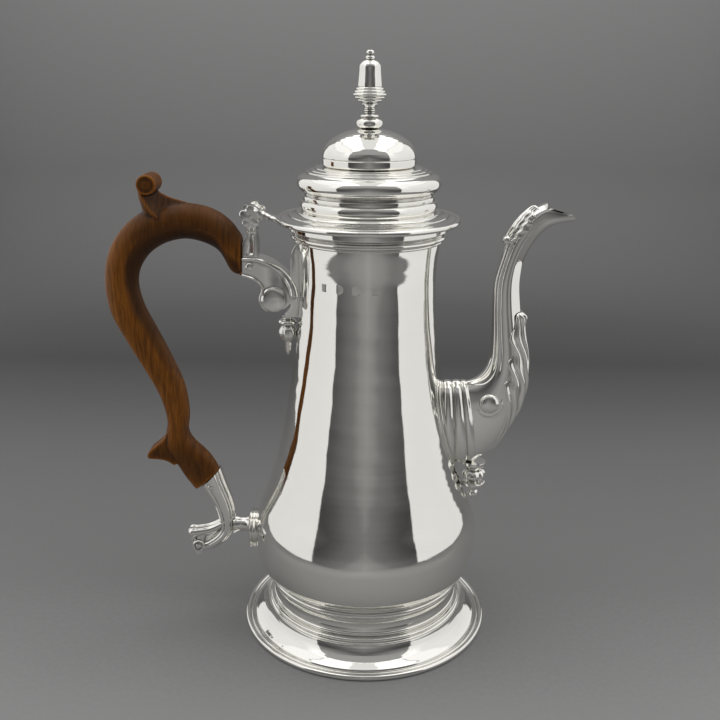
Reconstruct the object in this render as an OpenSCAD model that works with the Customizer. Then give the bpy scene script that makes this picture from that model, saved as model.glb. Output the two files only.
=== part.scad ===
// Silver coffee pot: hollow baluster body on a moulded foot, swan-neck spout, pinned wooden
// double-scroll handle and a domed lid on a stand-away hinge.
// Millimetres. Origin on the body's axis at the table, +Z up, spout towards +X, handle towards -X.

/* [Body] */
// Height of the body's mouth, where the lid lands
mouth_z = 193.3; // [170:0.1:220]
// Outside radius of the body at the mouth
mouth_r = 31.5; // [26:0.1:38]
// Height and radius of the narrow throat below the mouth
throat_z = 168; // [150:1:180]
throat_r = 30.3; // [25:0.1:36]
// Height and radius of the belly at its widest
belly_z = 47; // [35:0.5:60]
belly_r = 52.9; // [45:0.1:62]
// Radius where the body tucks in on to the foot
seat_r = 44.5; // [38:0.1:50]
// Thickness of the body's silver
body_wall = 0.9; // [0.6:0.1:2]

/* [Foot] */
// Height of the foot, up to the body's seat
foot_h = 27; // [20:0.5:34]
// Outside radius of the moulded wire round the foot
foot_r = 58.6; // [50:0.1:66]
// Radius of the foot inside that wire
foot_wire_r = 54; // [48:0.1:62]

/* [Lid] */
// Gap between the lid's flange and the body's mouth
lid_gap = 0.3; // [0.1:0.05:0.6]
// Outside radius of the flange
flange_r = 40.2; // [36:0.1:46]
// Radius of the bulged drum
drum_r = 31.3; // [28:0.1:36]
// Radius and rise of the top dome
dome_r = 20.4; // [16:0.1:26]
dome_rise = 11.9; // [8:0.1:14]
// Outside radius of the ring that fits in the mouth
bezel_r = 29.6; // [25:0.1:30.5]
// Depth of that ring
bezel_h = 6; // [3:0.1:12]

/* [Hinge] */
// Distance of the hinge axis behind the body's axis
hinge_x = 50.5; // [46:0.1:58]
// Height of the hinge axis
hinge_z = 196.5; // [190:0.1:205]
// Radius of the hinge pin
hinge_pin_r = 1.3; // [0.8:0.05:2]
// Radial clearance of the moving knuckle on the pin
hinge_clearance = 0.05; // [0.02:0.01:0.1]
// Outside radius of the knuckles
knuckle_r = 3.6; // [2.8:0.1:5]
// Half the length of the lid's knuckle
lid_knuckle_half = 3.4; // [2.5:0.1:5]
// Length of each fixed knuckle
fixed_knuckle_l = 3.7; // [2:0.1:6]
// Thickness of the scalloped end plates
end_plate_t = 1.2; // [0.8:0.1:2]
// How far the lid opens before its heel meets the post, in degrees
lid_open = 105; // [90:1:110]

/* [Handle] */
// Distance from the body's axis to the handle's upper end
handle_end_x = 55.6; // [50:0.1:62]
// Half the handle's thickness across the pot
handle_half_w = 8; // [6:0.1:11]
// Half width, half height and length of the upper tenon
tenon_half_w = 4.3; // [3:0.1:6]
tenon_half_h = 3.2; // [2:0.1:5]
tenon_l = 10; // [6:0.5:14]
// Half side and length of the lower tenon
low_tenon_half = 3.3; // [2:0.1:4.5]
low_tenon_l = 9; // [5:0.5:12]
// Radius of the upper and lower handle pins
upper_pin_r = 1.3; // [0.8:0.1:2]
lower_pin_r = 1.1; // [0.8:0.1:2]

/* [Sockets] */
// Half width of the upper socket across the pot
socket_half_w = 6.5; // [5:0.1:9]
// Half width of the lower socket across the pot
low_socket_half_w = 5.5; // [4:0.1:8]
// Radius and height of the round collar on the belly
collar_r = 9.8; // [7:0.1:13]
collar_z = 44; // [38:0.5:55]

/* [Spout] */
// Thickness of the spout's silver
spout_wall = 1.1; // [0.8:0.1:2]
// Height of the spout's root on the body
spout_root_z = 99; // [85:0.5:115]
// Diameter and spacing of the strainer holes behind the spout
strainer_d = 3; // [2:0.1:4]
strainer_step = 5; // [4:0.1:7]

/* [Hidden] */
$fn = 96;
slip = 0.01;
loft_sides = 20;
profile_steps = 10;
arc_step = 18;
lid_z = mouth_z + lid_gap;
knuckle_gap = 0.3;
fixed_knuckle_y = lid_knuckle_half + knuckle_gap;
hinge_half = fixed_knuckle_y + fixed_knuckle_l;
socket_top_z = 178;
tenon_z = 173.2;
silver = [0.86, 0.85, 0.82];
wood = [0.42, 0.22, 0.1];

// ---------- curves ----------

// Cubic from a to b with end slopes ta and tb
function hermite(a, b, ta, tb, t) =
    (2 * t * t * t - 3 * t * t + 1) * a + (t * t * t - 2 * t * t + t) * ta
    + (3 * t * t - 2 * t * t * t) * b + (t * t * t - t * t) * tb;

// Circular arc as points, from angle a0 to a1, with a point at least every arc_step degrees
function arc(cx, cz, r, a0, a1) = let (steps = ceil(abs(a1 - a0) / arc_step))
    [for (i = [0:steps]) [cx + r * cos(a0 + (a1 - a0) * i / steps), cz + r * sin(a0 + (a1 - a0) * i / steps)]];

// Smooth curve through a list of stations of any width: the point a fraction of the way along span i
function along(list, i, t) =
    let (n = len(list), p = list[i], q = list[i + 1],
        before = list[max(i - 1, 0)], after = list[min(i + 2, n - 1)])
    hermite(p, q, (q - before) / 2, (after - p) / 2, t);

function smooth(list, steps) =
    [for (i = [0:len(list) - 2], k = [0:steps - 1]) along(list, i, k / steps), list[len(list) - 1]];

// ---------- lofts ----------

// A section is [x1, z1, x2, z2, half width]: two opposite edges in the XZ plane and the width across it.
// squareness 1 is an ellipse, less is fuller at the corners; grow moves the surface outwards.
function section_point(s, angle, grow, squareness) =
    let (mid = [(s[0] + s[2]) / 2, (s[1] + s[3]) / 2], half = [(s[2] - s[0]) / 2, (s[3] - s[1]) / 2],
        size = norm(half), c = cos(angle), w = sin(angle),
        reach = (size + grow) / size * sign(c) * pow(abs(c), squareness))
    [mid[0] + half[0] * reach, (s[4] + grow) * sign(w) * pow(abs(w), squareness), mid[1] + half[1] * reach];

function ring(s, grow, squareness) =
    [for (k = [0:loft_sides - 1]) section_point(s, 360 * k / loft_sides, grow, squareness)];

function total(list, i = 0) = i == len(list) - 1 ? list[i] : list[i] + total(list, i + 1);

// Vector along a ring's axis, on the side from which its points run anticlockwise
function ring_normal(r) = let (c = total(r) / len(r))
    total([for (k = [0:len(r) - 1]) cross(r[k] - c, r[(k + 1) % len(r)] - c)]);

function backwards(r) = [for (k = [len(r) - 1:-1:0]) r[k]];

// Solid through rings of points with the same count, closed at both ends. A crescent ring runs out along
// one curve and back along another, so its side faces are halved and its ends are closed in strips.
module skin(rings, crescent = false) {
    m = len(rings);
    n = len(rings[0]);
    middle = floor(m / 2);
    onward = total(rings[middle]) - total(rings[middle - 1]);
    points = [for (r = rings) each ring_normal(rings[middle]) * onward > 0 ? backwards(r) : r];
    quads = [for (i = [0:m - 2], k = [0:n - 1])
        [i * n + k, i * n + (k + 1) % n, (i + 1) * n + (k + 1) % n, (i + 1) * n + k]];
    sides = crescent ? [for (q = quads) each [[q[0], q[1], q[2]], [q[0], q[2], q[3]]]] : quads;
    last = (m - 1) * n;
    ends = crescent
        ? [for (k = [0:n / 2 - 2]) each [[n - 1 - k, n - 2 - k, k + 1, k],
            [last + k, last + k + 1, last + n - 2 - k, last + n - 1 - k]]]
        : [[for (k = [n - 1:-1:0]) k], [for (k = [0:n - 1]) last + k]];
    polyhedron(points, concat(sides, ends), convexity = 10);
}

module loft(sections, steps, squareness = 1, grow = 0) {
    skin([for (s = smooth(sections, steps)) ring(s, grow, squareness)]);
}

// ---------- body ----------

// Upper body: height, radius and slope of the radius, from the belly to the mouth
body_stations = [
    [belly_z, belly_r, 0],
    [belly_z + 15, belly_r - 4, -0.43],
    [belly_z + 33, belly_r - 10.2, -0.27],
    [belly_z + 63, throat_r + 6, -0.17],
    [throat_z - 28, throat_r + 1.9, -0.11],
    [throat_z, throat_r, -0.01],
    [mouth_z - 7.5, mouth_r, 0.08],
];

function upper_body(inset) = [for (i = [0:len(body_stations) - 2], k = [0:profile_steps - 1])
    let (p = body_stations[i], q = body_stations[i + 1], t = k / profile_steps, dz = q[0] - p[0])
    [hermite(p[1], q[1], p[2] * dz, q[2] * dz, t) - inset, p[0] + dz * t]];

// Heel under the belly: a full quarter curve from the seat out to the belly
function heel(inset) = [for (k = [0:profile_steps - 1]) let (a = 90 * (1 - k / profile_steps))
    [seat_r + (belly_r - seat_r) * pow(cos(a), 0.87) - inset,
        belly_z - (belly_z - foot_h - 0.4 - inset * 0.7) * pow(sin(a), 0.87)]];

body_outer = concat([[0, foot_h - 1.8], [24, foot_h - 1.4], [37, foot_h], [seat_r - 0.4, foot_h]],
    heel(0), upper_body(0), [[mouth_r, mouth_z - 7.5], [mouth_r, mouth_z]]);
body_inner = concat([[0, foot_h - 0.6], [24, foot_h - 0.2], [37, foot_h + 1.2]],
    heel(body_wall), upper_body(body_wall), [[mouth_r - body_wall, mouth_z - 7.5],
    [mouth_r - body_wall, mouth_z]]);

// The body as a solid, cut from every piece that is soldered to it
module body_core() {
    rotate_extrude() polygon(concat(body_outer, [[0, mouth_z]]));
}

module body_shell() {
    color(silver) difference() {
        rotate_extrude() polygon(concat(body_outer, [for (i = [len(body_inner) - 1:-1:0]) body_inner[i]]));
        strainer();
    }
}

// Rosette of holes through the body behind the spout's root
module strainer() {
    for (row = [-2:2], column = [-1:1]) {
        y = (column + (abs(row) % 2) / 2) * strainer_step * 0.9;
        z = row * strainer_step * 0.92;
        if (abs(y) < 6) translate([throat_r, y, spout_root_z + z])
            rotate([0, 90, 0]) cylinder(d = strainer_d, h = 20, $fn = 24);
    }
}

module body_rim_mount() {
    z = mouth_z;
    color(silver) rotate_extrude() polygon(concat(
        [[mouth_r + slip, z - 7.5], [mouth_r + 0.9, z - 7.5]], arc(mouth_r + 0.9, z - 6.9, 0.6, -90, 90),
        [[mouth_r + 1.4, z - 6.2]], arc(mouth_r + 1.8, z - 5.1, 1.05, -90, 90),
        [[mouth_r + 1.7, z - 3.8], [mouth_r + 1.9, z - 3.1], [mouth_r + 3.2, z - 2.6], [mouth_r + 3.4, z - 2.3],
        [mouth_r + 3.4, z - 0.3], [mouth_r + 3.1, z], [mouth_r + slip, z]]));
}

// ---------- foot ----------

flare = [for (k = [0:8]) let (t = k / 8) [hermite(46.4, foot_wire_r - 0.6, 2, 9, t),
    hermite(9.7, 2.3, -9, -4.5, t)]];

module foot() {
    h = foot_h;
    color(silver) rotate_extrude() polygon(concat(
        [[40, h], [45.1, h]], arc(45.1, h - 0.5, 0.5, 90, -90), [[44.7, h - 1.2]],
        arc(44.9, h - 2.6, 1.15, 80, -80), [[45, h - 4.3], [45, h - 5]],
        arc(51, h - 8.4, 7.7, 155, 205), arc(43.6, h - 12.8, 0.85, 80, -80), [[43.9, h - 13.9]],
        arc(45.3, h - 14.9, 0.8, 70, -80), [[45.8, h - 15.9]], arc(45.9, h - 16.6, 0.6, 80, -60),
        flare, [[foot_wire_r - 0.3, 1.7], [foot_wire_r, 1.7], [foot_wire_r, 0], [foot_wire_r - 1.6, 0],
        [foot_wire_r - 1.6, 1.2], [49.4, 3.4], [46.4, 6.4], [45, 9.2], [44.2, 11.2], [42.5, h - 13.6],
        [42, h - 11], [42, h - 6], [43.4, h - 3.8], [43.4, h - 1.6], [40, h - 1.4]]));
}

module foot_rim_wire() {
    reed_r = 1.3;
    color(silver) rotate_extrude() polygon(concat([[foot_wire_r + slip, 0]],
        arc(foot_r - reed_r, reed_r, reed_r, -90, 140),
        arc(foot_wire_r + 1.35, 1.6, 0.75, 20, 160), [[foot_wire_r + slip, 1.7]]));
}

// ---------- spout ----------

// Edges of the swan neck from its root on the body to the beak: back edge, front edge, half width
spout_sections = [
    [34, spout_root_z + 20, 34, spout_root_z - 16, 6.6],
    [44.5, spout_root_z + 21.4, 50, spout_root_z - 17, 7.4],
    [50, spout_root_z + 23.3, 59.6, spout_root_z - 10.2, 8],
    [53.8, spout_root_z + 27.2, 68.4, spout_root_z + 1.6, 8.4],
    [55.6, spout_root_z + 32.6, 74, spout_root_z + 16.4, 8.2],
    [56.1, 139, 74.4, 130.4, 7.4],
    [56, 148.4, 70.8, 146.4, 6.4],
    [55.7, 157.6, 68.1, 158.4, 5.9],
    [56, 168, 67.5, 168.4, 5.5],
    [58.4, 177.8, 69.1, 178.4, 5.3],
    [61.3, 187, 74, 187.4, 5.3],
    [67.6, 196.6, 79.2, 192.2, 5.4],
    [76.6, 202.4, 84.2, 193.9, 5.2],
    [87.6, 203.5, 89.6, 194.7, 3.4],
];
spout_steps = 3;
spout_rings = smooth(spout_sections, spout_steps);

// Level just inside the lip, above which the beak is open
module above_lip() {
    translate([76.6, -10, 200.2]) rotate([0, 14.5, 0]) cube([20, 20, 12]);
}

module spout() {
    last = len(spout_rings) - 1;
    outer = [for (s = spout_rings) ring(s, 0, 0.9)];
    inner = [for (i = [0:last]) [for (p = ring(spout_rings[i], -spout_wall, 0.9))
        p + (i == 0 ? [-1, 0, 0] : i == last ? [1, 0, 0] : [0, 0, 0])]];
    color(silver) difference() {
        skin(outer);
        skin(inner);
        body_core();
        above_lip();
    }
}

// Piece lying on the spout from one ring to another, over angles either side of the back (180) or front (0)
module on_spout(first, last, from_angle, to_angle, thickness, arcs = 12) {
    skin([for (i = [first:last]) let (u = (i - first) / (last - first), s = spout_rings[i]) concat(
        [for (k = [0:arcs]) let (a = from_angle + (to_angle - from_angle) * k / arcs)
            section_point(s, a, 0.02, 0.9)],
        [for (k = [arcs:-1:0]) let (a = from_angle + (to_angle - from_angle) * k / arcs, v = k / arcs)
            section_point(s, a, 0.2 + thickness * pow(sin(180 * v), 0.5) * pow(sin(20 + 140 * u), 0.7)
                * (0.8 + 0.2 * cos(360 * 6 * v)), 0.9)])], crescent = true);
}

module spout_shell() {
    color(silver) on_spout(5, 20, -80, 80, 2, 36);
}

module spout_leaf() {
    color(silver) {
        on_spout(29, 35, 105, 255, 1.5, 12);
        difference() {
            translate([60.4, 0, 186.4]) rotate([90, 0, 0]) cylinder(r = 1.9, h = 8, center = true, $fn = 32);
            skin([for (i = [27:33]) ring(spout_rings[i], 0.02, 0.9)]);
        }
    }
}

// Moulded root plate round the spout, lying on the body
module spout_collar() {
    color(silver) difference() {
        skin([for (i = [0:5]) ring(spout_rings[i], 2.4 - 0.44 * i, 0.9)]);
        body_core();
        skin([for (i = [0:6]) [for (p = ring(spout_rings[i], 0.02, 0.9)) p + (i == 0 ? [-1, 0, 0] : [0, 0, 0])]]);
    }
}

module spout_drop() {
    color(silver) difference() {
        translate([51.3, 0, 0]) rotate_extrude() polygon(concat([[0, 85], [5, 84], [5.4, 79.5]],
            arc(2.6, 74, 2.7, 75, -30), [[2.6, 71.4], [5, 70.6]], arc(3.9, 69.6, 1.4, 45, -60),
            [[2.6, 67.4], [2.2, 66.4]], arc(0, 64.2, 2.4, 60, -60), [[0.8, 61.4], [0, 60.8]]));
        body_core();
        skin([for (i = [0:8]) ring(spout_rings[i], 5.5 - min(i, 4) * 1.2, 0.9)]);
    }
}

// ---------- handle and its sockets ----------

// Edges of the grip from the upper socket round to the lower: outer edge, inner edge, half width
handle_sections = [
    [-handle_end_x, 186.8, -handle_end_x, 169.4, handle_half_w - 0.6],
    [-60.3, 193.4, -60.4, 171, handle_half_w - 0.2],
    [-67.6, 198.4, -66.2, 180.6, handle_half_w],
    [-77.4, 200.8, -77.6, 185.1, handle_half_w],
    [-87.6, 200.2, -87.4, 183.9, handle_half_w],
    [-98.6, 196.9, -94.6, 180, handle_half_w],
    [-108.2, 189.4, -99, 175.2, handle_half_w],
    [-114.8, 178.4, -101.6, 169.6, handle_half_w],
    [-117.2, 165, -102, 163.2, handle_half_w - 0.2],
    [-115.3, 151.4, -100, 154.8, handle_half_w - 0.4],
    [-109, 138.2, -95.2, 144, handle_half_w - 0.7],
    [-102.2, 125.6, -89.4, 131.2, handle_half_w - 1],
    [-95.8, 112.6, -84, 117.2, handle_half_w - 1.2],
    [-92.9, 101, -82.4, 104, handle_half_w - 1.3],
    [-93.8, 93.4, -83.2, 94.8, handle_half_w - 1.4],
    [-94.6, 86.6, -80.6, 89.4, handle_half_w - 1.5],
    [-90.2, 79.4, -74.6, 83.4, handle_half_w - 1.7],
    [-86, 71.8, -71.2, 78.4, handle_half_w - 1.9],
    [-81.2, 65, -69.8, 75.2, handle_half_w - 2],
];
// Direction of the lower tenon and the middle of the handle's lower end
low_dir = -65;
low_end = [-73.8, 71.2];

// Block centred on the lower tenon's line, running into the socket
module low_block(half, length, back) {
    translate([low_end[0], 0, low_end[1]]) rotate([0, -low_dir, 0])
        translate([-back, -half, -half]) cube([length + back, 2 * half, 2 * half]);
}

module upper_block(half_w, half_h, length, back) {
    translate([-handle_end_x - back, -half_w, tenon_z - half_h]) cube([length + back, 2 * half_w, 2 * half_h]);
}

module upper_pin_shape(r, half) {
    translate([-51.9, 0, tenon_z + 0.9]) rotate([90, 0, 0]) cylinder(r = r, h = 2 * half, center = true);
}

module lower_pin_shape(r, half) {
    translate([-73.2, 0, 67.4]) rotate([90, 0, 0]) cylinder(r = r, h = 2 * half, center = true);
}

module across(half) {
    rotate([90, 0, 0]) linear_extrude(2 * half, center = true) children();
}

// Leaf that rises from the grip and rolls over at its tip, for the thumb
thumb_leaf = [[-70, 199.5], [-79.7, 202], [-85.3, 203.2], [-89.2, 204.8], [-92, 206.6], [-99, 206.4],
    [-99.3, 202], [-97.2, 197.4], [-88, 194], [-76, 194]];
// Pointed tail at the knee above the lower socket
tail = [[-92.8, 95], [-94.2, 91.8], [-97.6, 88.6], [-101.4, 85.4], [-102.7, 83], [-102, 81.2], [-97.6, 81],
    [-93.8, 80.4], [-90.4, 78], [-86, 80], [-86, 90]];

module handle() {
    color(wood) difference() {
        union() {
            loft(handle_sections, 3, 0.72);
            across(handle_half_w - 1.2) polygon(thumb_leaf);
            translate([-95, 0, 209.2]) rotate([90, 0, 0]) cylinder(r = 4.4, h = 2 * handle_half_w - 1.6,
                center = true);
            across(handle_half_w - 3.2) polygon(tail);
            upper_block(tenon_half_w, tenon_half_h, tenon_l, 3);
            low_block(low_tenon_half, low_tenon_l, 4);
        }
        upper_pin_shape(upper_pin_r, 20);
        lower_pin_shape(lower_pin_r, 20);
    }
}

// Side outline of the upper socket: flat top under the hinge post, scroll below
socket_side = concat([[-handle_end_x + 0.2, socket_top_z], [-47.8, socket_top_z], [-42.5, 176], [-38.2, 173.2],
    [-34.7, 170], [-31, 165], [-29, 160], [-29, 158.4], [-34.4, 157.2], [-37, 154.6]],
    arc(-41.6, 159.3, 6, 285, 155), [[-46.8, 164.4], [-48.4, 166.8], [-51, 168.2],
    [-handle_end_x + 0.2, 169.4]]);
// Plan of the upper socket: broad at its mouth, waisted, flared on the body
socket_plan = [[-56, 6.5], [-50, 6.5], [-44, 5.6], [-38, 4.6], [-34, 5], [-30.5, 6.4], [-28, 6.5]];

module upper_socket() {
    color(silver) difference() {
        intersection() {
            across(socket_half_w) polygon(socket_side);
            translate([0, 0, 145]) linear_extrude(40)
                polygon(concat(socket_plan, [for (i = [len(socket_plan) - 1:-1:0])
                    [socket_plan[i][0], -socket_plan[i][1]]]));
        }
        upper_block(tenon_half_w + slip, tenon_half_h + slip, tenon_l + 0.3, 1);
        upper_pin_shape(upper_pin_r, 20);
        body_core();
        backplate_solid();
    }
}

// Shield-shaped plate between the upper socket and the body
module backplate_solid() {
    intersection() {
        across(10) polygon([[-26, 184], [-31.6, 184], [-33.2, 181], [-33.2, 157], [-35, 154], [-36.8, 152.4], [-36.8, 150.6],
            [-26, 150.6]]);
        translate([-20, 0, 0]) rotate([90, 0, -90]) linear_extrude(20) polygon(concat(
            [[-3.2, 150.6], [3.2, 150.6], [5.2, 156], [6.2, 166], [5, 176]], arc(0, 179, 4.8, 0, 180),
            [[-5, 176], [-6.2, 166], [-5.2, 156]]));
    }
}

module upper_socket_backplate() {
    color(silver) difference() {
        backplate_solid();
        body_core();
    }
}

module upper_socket_drop() {
    color(silver) difference() {
        translate([-36, 0, 0]) rotate_extrude() polygon(concat([[0, 150.6 - slip], [2.6, 150.6 - slip], [2.2, 149.2]],
            arc(3, 147.9, 1.1, 80, -80), [[2.6, 146.4]], arc(0, 143, 4, 45, -50),
            [[1.9, 139.2], [1.5, 136.6], [0.9, 133.4], [0, 132]]));
        body_core();
    }
}

module upper_socket_pin() {
    color(silver) upper_pin_shape(upper_pin_r - slip, socket_half_w + 0.1);
}

low_socket_sections = [
    [-69, 76.8, -78.6, 66, low_socket_half_w + 0.4],
    [-66.6, 68.4, -75.6, 61.4, low_socket_half_w],
    [-64.2, 61.2, -72.9, 56.4, low_socket_half_w - 0.3],
    [-62.9, 55.6, -71.3, 51.6, low_socket_half_w - 0.5],
    [-62.4, 50.6, -70.4, 47.6, low_socket_half_w - 0.6],
];
scroll_sections = [
    [-62.4, 50.6, -70.4, 47.6, low_socket_half_w - 0.6],
    [-63.4, 44.8, -70.2, 45, low_socket_half_w - 0.8],
    [-65.8, 39.6, -71.4, 42.8, low_socket_half_w - 0.9],
    [-69.6, 35.8, -73.6, 40.4, low_socket_half_w - 1],
    [-74, 33.4, -76.6, 38.2, low_socket_half_w - 1],
    [-78.8, 32.4, -79.6, 37.2, low_socket_half_w - 1],
];

// Everything on the handle's side of its lower end face
module beyond_low_end() {
    translate([low_end[0], 0, low_end[1]]) rotate([0, -45, 0]) translate([-20, -15, 0]) cube([40, 30, 20]);
}

module lower_socket() {
    color(silver) difference() {
        loft(low_socket_sections, 3, 0.85);
        beyond_low_end();
        low_block(low_tenon_half + slip, low_tenon_l + 0.3, 8);
        lower_pin_shape(lower_pin_r, 20);
    }
}

module lower_socket_scroll() {
    color(silver) {
        loft(scroll_sections, 3, 0.85);
        translate([-80.6, 0, 35.6]) rotate([90, 0, 0]) cylinder(r = 3.2, h = 9, center = true, $fn = 48);
        translate([-84, 0, 41.2]) sphere(r = 2.5, $fn = 32);
        across(1.6) polygon([[-80, 34], [-83.4, 34], [-82.6, 29.4], [-81.2, 28.8], [-78, 32.6]]);
        across(1.6) polygon([[-81.4, 37.4], [-84.4, 40.4], [-85, 37.8], [-83.4, 35.4]]);
    }
}

// Turned spool and round plate between the lower socket and the belly
module lower_socket_collar() {
    spool_z = collar_z + 2;
    color(silver) difference() {
        union() {
            translate([0, 0, collar_z]) rotate([0, -90, 0]) rotate_extrude() polygon(concat(
                [[0, 48], [collar_r, 48]], arc(collar_r - 0.9, 54.6, 0.9, 0, 90), [[0, 56]]));
            translate([0, 0, spool_z]) rotate([0, -90, 0]) rotate_extrude() polygon(concat(
                [[0, 50], [5, 50], [5, 56.2]], arc(8.2, 59.6, 5, 226, 156), [[3.6, 63.6], [0, 63.6]]));
        }
        body_core();
        loft(low_socket_sections, 3, 0.85, slip);
        loft(scroll_sections, 3, 0.85, slip);
    }
}

module lower_socket_pin() {
    color(silver) lower_pin_shape(lower_pin_r - slip, low_socket_half_w + 0.1);
}

// ---------- hinge ----------

module at_hinge() {
    translate([-hinge_x, 0, hinge_z]) rotate([90, 0, 0]) children();
}

// Tube along the hinge from y0 to y1
module knuckle(y0, y1, r, bore) {
    translate([-hinge_x, y1, hinge_z]) rotate([90, 0, 0]) difference() {
        cylinder(r = r, h = y1 - y0);
        translate([0, 0, -1]) cylinder(r = bore, h = y1 - y0 + 2);
    }
}

module mirrored_y() {
    children();
    mirror([0, 1, 0]) children();
}

module hinge_knuckles() {
    color(silver) mirrored_y() knuckle(fixed_knuckle_y, hinge_half, knuckle_r, hinge_pin_r + slip);
}

module hinge_pin() {
    color(silver) at_hinge() cylinder(r = hinge_pin_r, h = 2 * hinge_half, center = true);
}

module hinge_end_plates() {
    color(silver) mirrored_y() translate([-hinge_x, hinge_half + end_plate_t + slip, hinge_z]) rotate([90, 0, 0]) {
        cylinder(r = 3.4, h = end_plate_t);
        for (k = [0:4]) rotate(18 + 72 * k) translate([3.2, 0, 0]) cylinder(r = 1.75, h = end_plate_t, $fn = 48);
    }
}

module hinge_post() {
    waist_z = hinge_z - 7.4;
    left = -handle_end_x + 0.3;
    color(silver) difference() {
        intersection() {
            across(20) polygon([[left, socket_top_z + slip], [-48.2, socket_top_z + slip], [-48, 184.6],
                [-hinge_x + 1.5, waist_z], [-hinge_x + 2.6, hinge_z - 2.6], [-hinge_x - 2.6, hinge_z - 2.6],
                [-hinge_x - 1.5, waist_z], [left, 184.6]]);
            rotate([90, 0, 90]) linear_extrude(200, center = true) polygon([[-5.2, socket_top_z],
                [5.2, socket_top_z], [5.2, 183], [4.4, 186], [4.6, 188], [hinge_half, waist_z + 2.4],
                [hinge_half, hinge_z], [-hinge_half, hinge_z], [-hinge_half, waist_z + 2.4], [-4.6, 188],
                [-4.4, 186], [-5.2, 183]]);
        }
        at_hinge() cylinder(r = knuckle_r + slip, h = 40, center = true);
        at_hinge() cylinder(r = knuckle_r + 0.3, h = 2 * fixed_knuckle_y, center = true);
        heel_sweep();
    }
}

// Reach of the lid's heel below the hinge, and distance of the flank that stops it, with the lid open
heel_reach = 4.9;
stop_flank = 1.5;

// Room that the lid's heel needs up to the post's back flank
module heel_sweep() {
    translate([-hinge_x - 6 - stop_flank, -fixed_knuckle_y, hinge_z - 6])
        cube([6, 2 * fixed_knuckle_y, 12]);
}

// Lid's own knuckle, with the heel that stops it against the post
module lid_knuckle() {
    color(silver) difference() {
        union() {
            at_hinge() cylinder(r = knuckle_r, h = 2 * lid_knuckle_half, center = true);
            across(lid_knuckle_half) translate([-hinge_x, hinge_z]) rotate(-lid_open)
                polygon([[-stop_flank - 0.06, 0], [-stop_flank - 0.06, -heel_reach],
                    [-knuckle_r + 0.4, 0.8 - heel_reach], [-knuckle_r, 0]]);
        }
        at_hinge() cylinder(r = hinge_pin_r + hinge_clearance, h = 40, center = true);
    }
}

// ---------- lid ----------

module lid_flange() {
    z = lid_z;
    r = flange_r;
    color(silver) difference() {
        union() {
            rotate_extrude() polygon(concat([[28.2, z], [r - 1.2, z]], arc(r - 1.2, z + 1.2, 1.2, -90, 120),
                [[r - 2.2, z + 2.1], [r - 2.6, z + 2.3]], arc(r - 2.9, z + 7.4, 5.1, 268, 238),
                [[r - 5.7, z + 3.5]], arc(r - 5.5, z + 7.6, 4.1, 262, 222), [[r - 8.7, z + 5.1],
                [29.9, z + 5.4], [28.2, z + 5.4]]));
            across(lid_knuckle_half) polygon([[-r + 2, z + 0.2], [-r + 2, z + 2.4], [-hinge_x + 5, hinge_z + 1.6],
                [-hinge_x + 3, hinge_z + 1.9], [-hinge_x + 3, hinge_z - 1.6]]);
            translate([0, 0, z + 0.2]) linear_extrude(2) polygon([[-r + 3, 9], [-r + 3, -9],
                [-hinge_x + 5.8, -lid_knuckle_half], [-hinge_x + 5.8, lid_knuckle_half]]);
        }
        at_hinge() cylinder(r = knuckle_r + slip, h = 40, center = true);
        translate([0, 0, z - 1]) cylinder(r = 28.2, h = 10);
    }
}

module lid_drum() {
    z = lid_z;
    bulge = drum_r - 3.7;
    color(silver) rotate_extrude() polygon(concat([[28.2, z + 5.4 + slip]], [[29.3, z + 5.4 + slip]],
        arc(26.9, z + 7.7, 3.1, -42, 42), [[28.7, z + 10], [28.8, z + 10.9], [28.7, z + 11.8],
        [28, z + 12.1], [28, z + 13.2]], arc(bulge, z + 17, 3.7, -75, 80), [[27, z + 21.3], [27, z + 21.5],
        [26, z + 21.5], [26, z + 20.6]], arc(bulge - 0.6, z + 17, 3.2, 100, -90), [[27, z + 11.6],
        [27.7, z + 11.2], [27.7, z + 10.3]], arc(26.4, z + 7.7, 2.5, 50, -50)));
}

module lid_dome() {
    z = lid_z;
    top = z + 27.8;
    color(silver) rotate_extrude() polygon(concat([[26, z + 21.5 + slip], [27, z + 21.5 + slip], [26.8, z + 21.9],
        [25.4, z + 22.2], [25.3, z + 22.6], [23.4, z + 23], [23.3, z + 23.4], [19.6, z + 23.8]],
        arc(19.1, z + 25.2, 1.3, -80, 0), [[dome_r, z + 27.2], [20.2, z + 27.4], [20.2, z + 27.6]],
        [for (a = [0:6:90]) [dome_r * cos(a), top + dome_rise * sin(a)]],
        [for (a = [90:-6:0]) [(dome_r - 1) * cos(a), top + (dome_rise - 1) * sin(a)]],
        [[19.4, z + 25.2], [18.7, z + 23.8], [19, z + 22.8], [22.6, z + 22.2], [24.6, z + 21.5 + slip]]));
}

module lid_bezel() {
    z = lid_z - slip;
    color(silver) rotate_extrude() polygon([[28.3, z], [bezel_r, z], [bezel_r - 0.4, z - bezel_h + 0.3],
        [bezel_r - 0.7, z - bezel_h], [28.3, z - bezel_h]]);
}

// Crown of the dome, and the level below it that the finial's mouldings are measured from
crown_z = lid_z + 27.8 + dome_rise;
finial_z = crown_z - 3.6;

module finial_baluster() {
    z = finial_z;
    reeds = 5;
    color(silver) difference() {
        rotate_extrude() polygon(concat([[0, z + 2.6], [4, z + 2.6], [3.9, z + 3.3], [2.7, z + 3.6]],
            arc(3.8, z + 5.6, 2, -80, 80), [[3.9, z + 8], [4.1, z + 8.5], [3.8, z + 9], [2.2, z + 9.5],
            [2.2, z + 10.3], [2.7, z + 10.7], [2.2, z + 11.2], [2.3, z + 12], [3.4, z + 13.3], [3.2, z + 13.8]],
            [for (k = [0:reeds - 1]) each arc([4.6, 5.9, 6.7, 6.1, 5.4][k], z + 15 + 1.15 * k, 0.62, -80, 80)],
            [[4.9, z + 20.4], [0, z + 20.4]]));
        translate([0, 0, crown_z - dome_rise]) dome_solid();
    }
}

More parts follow.
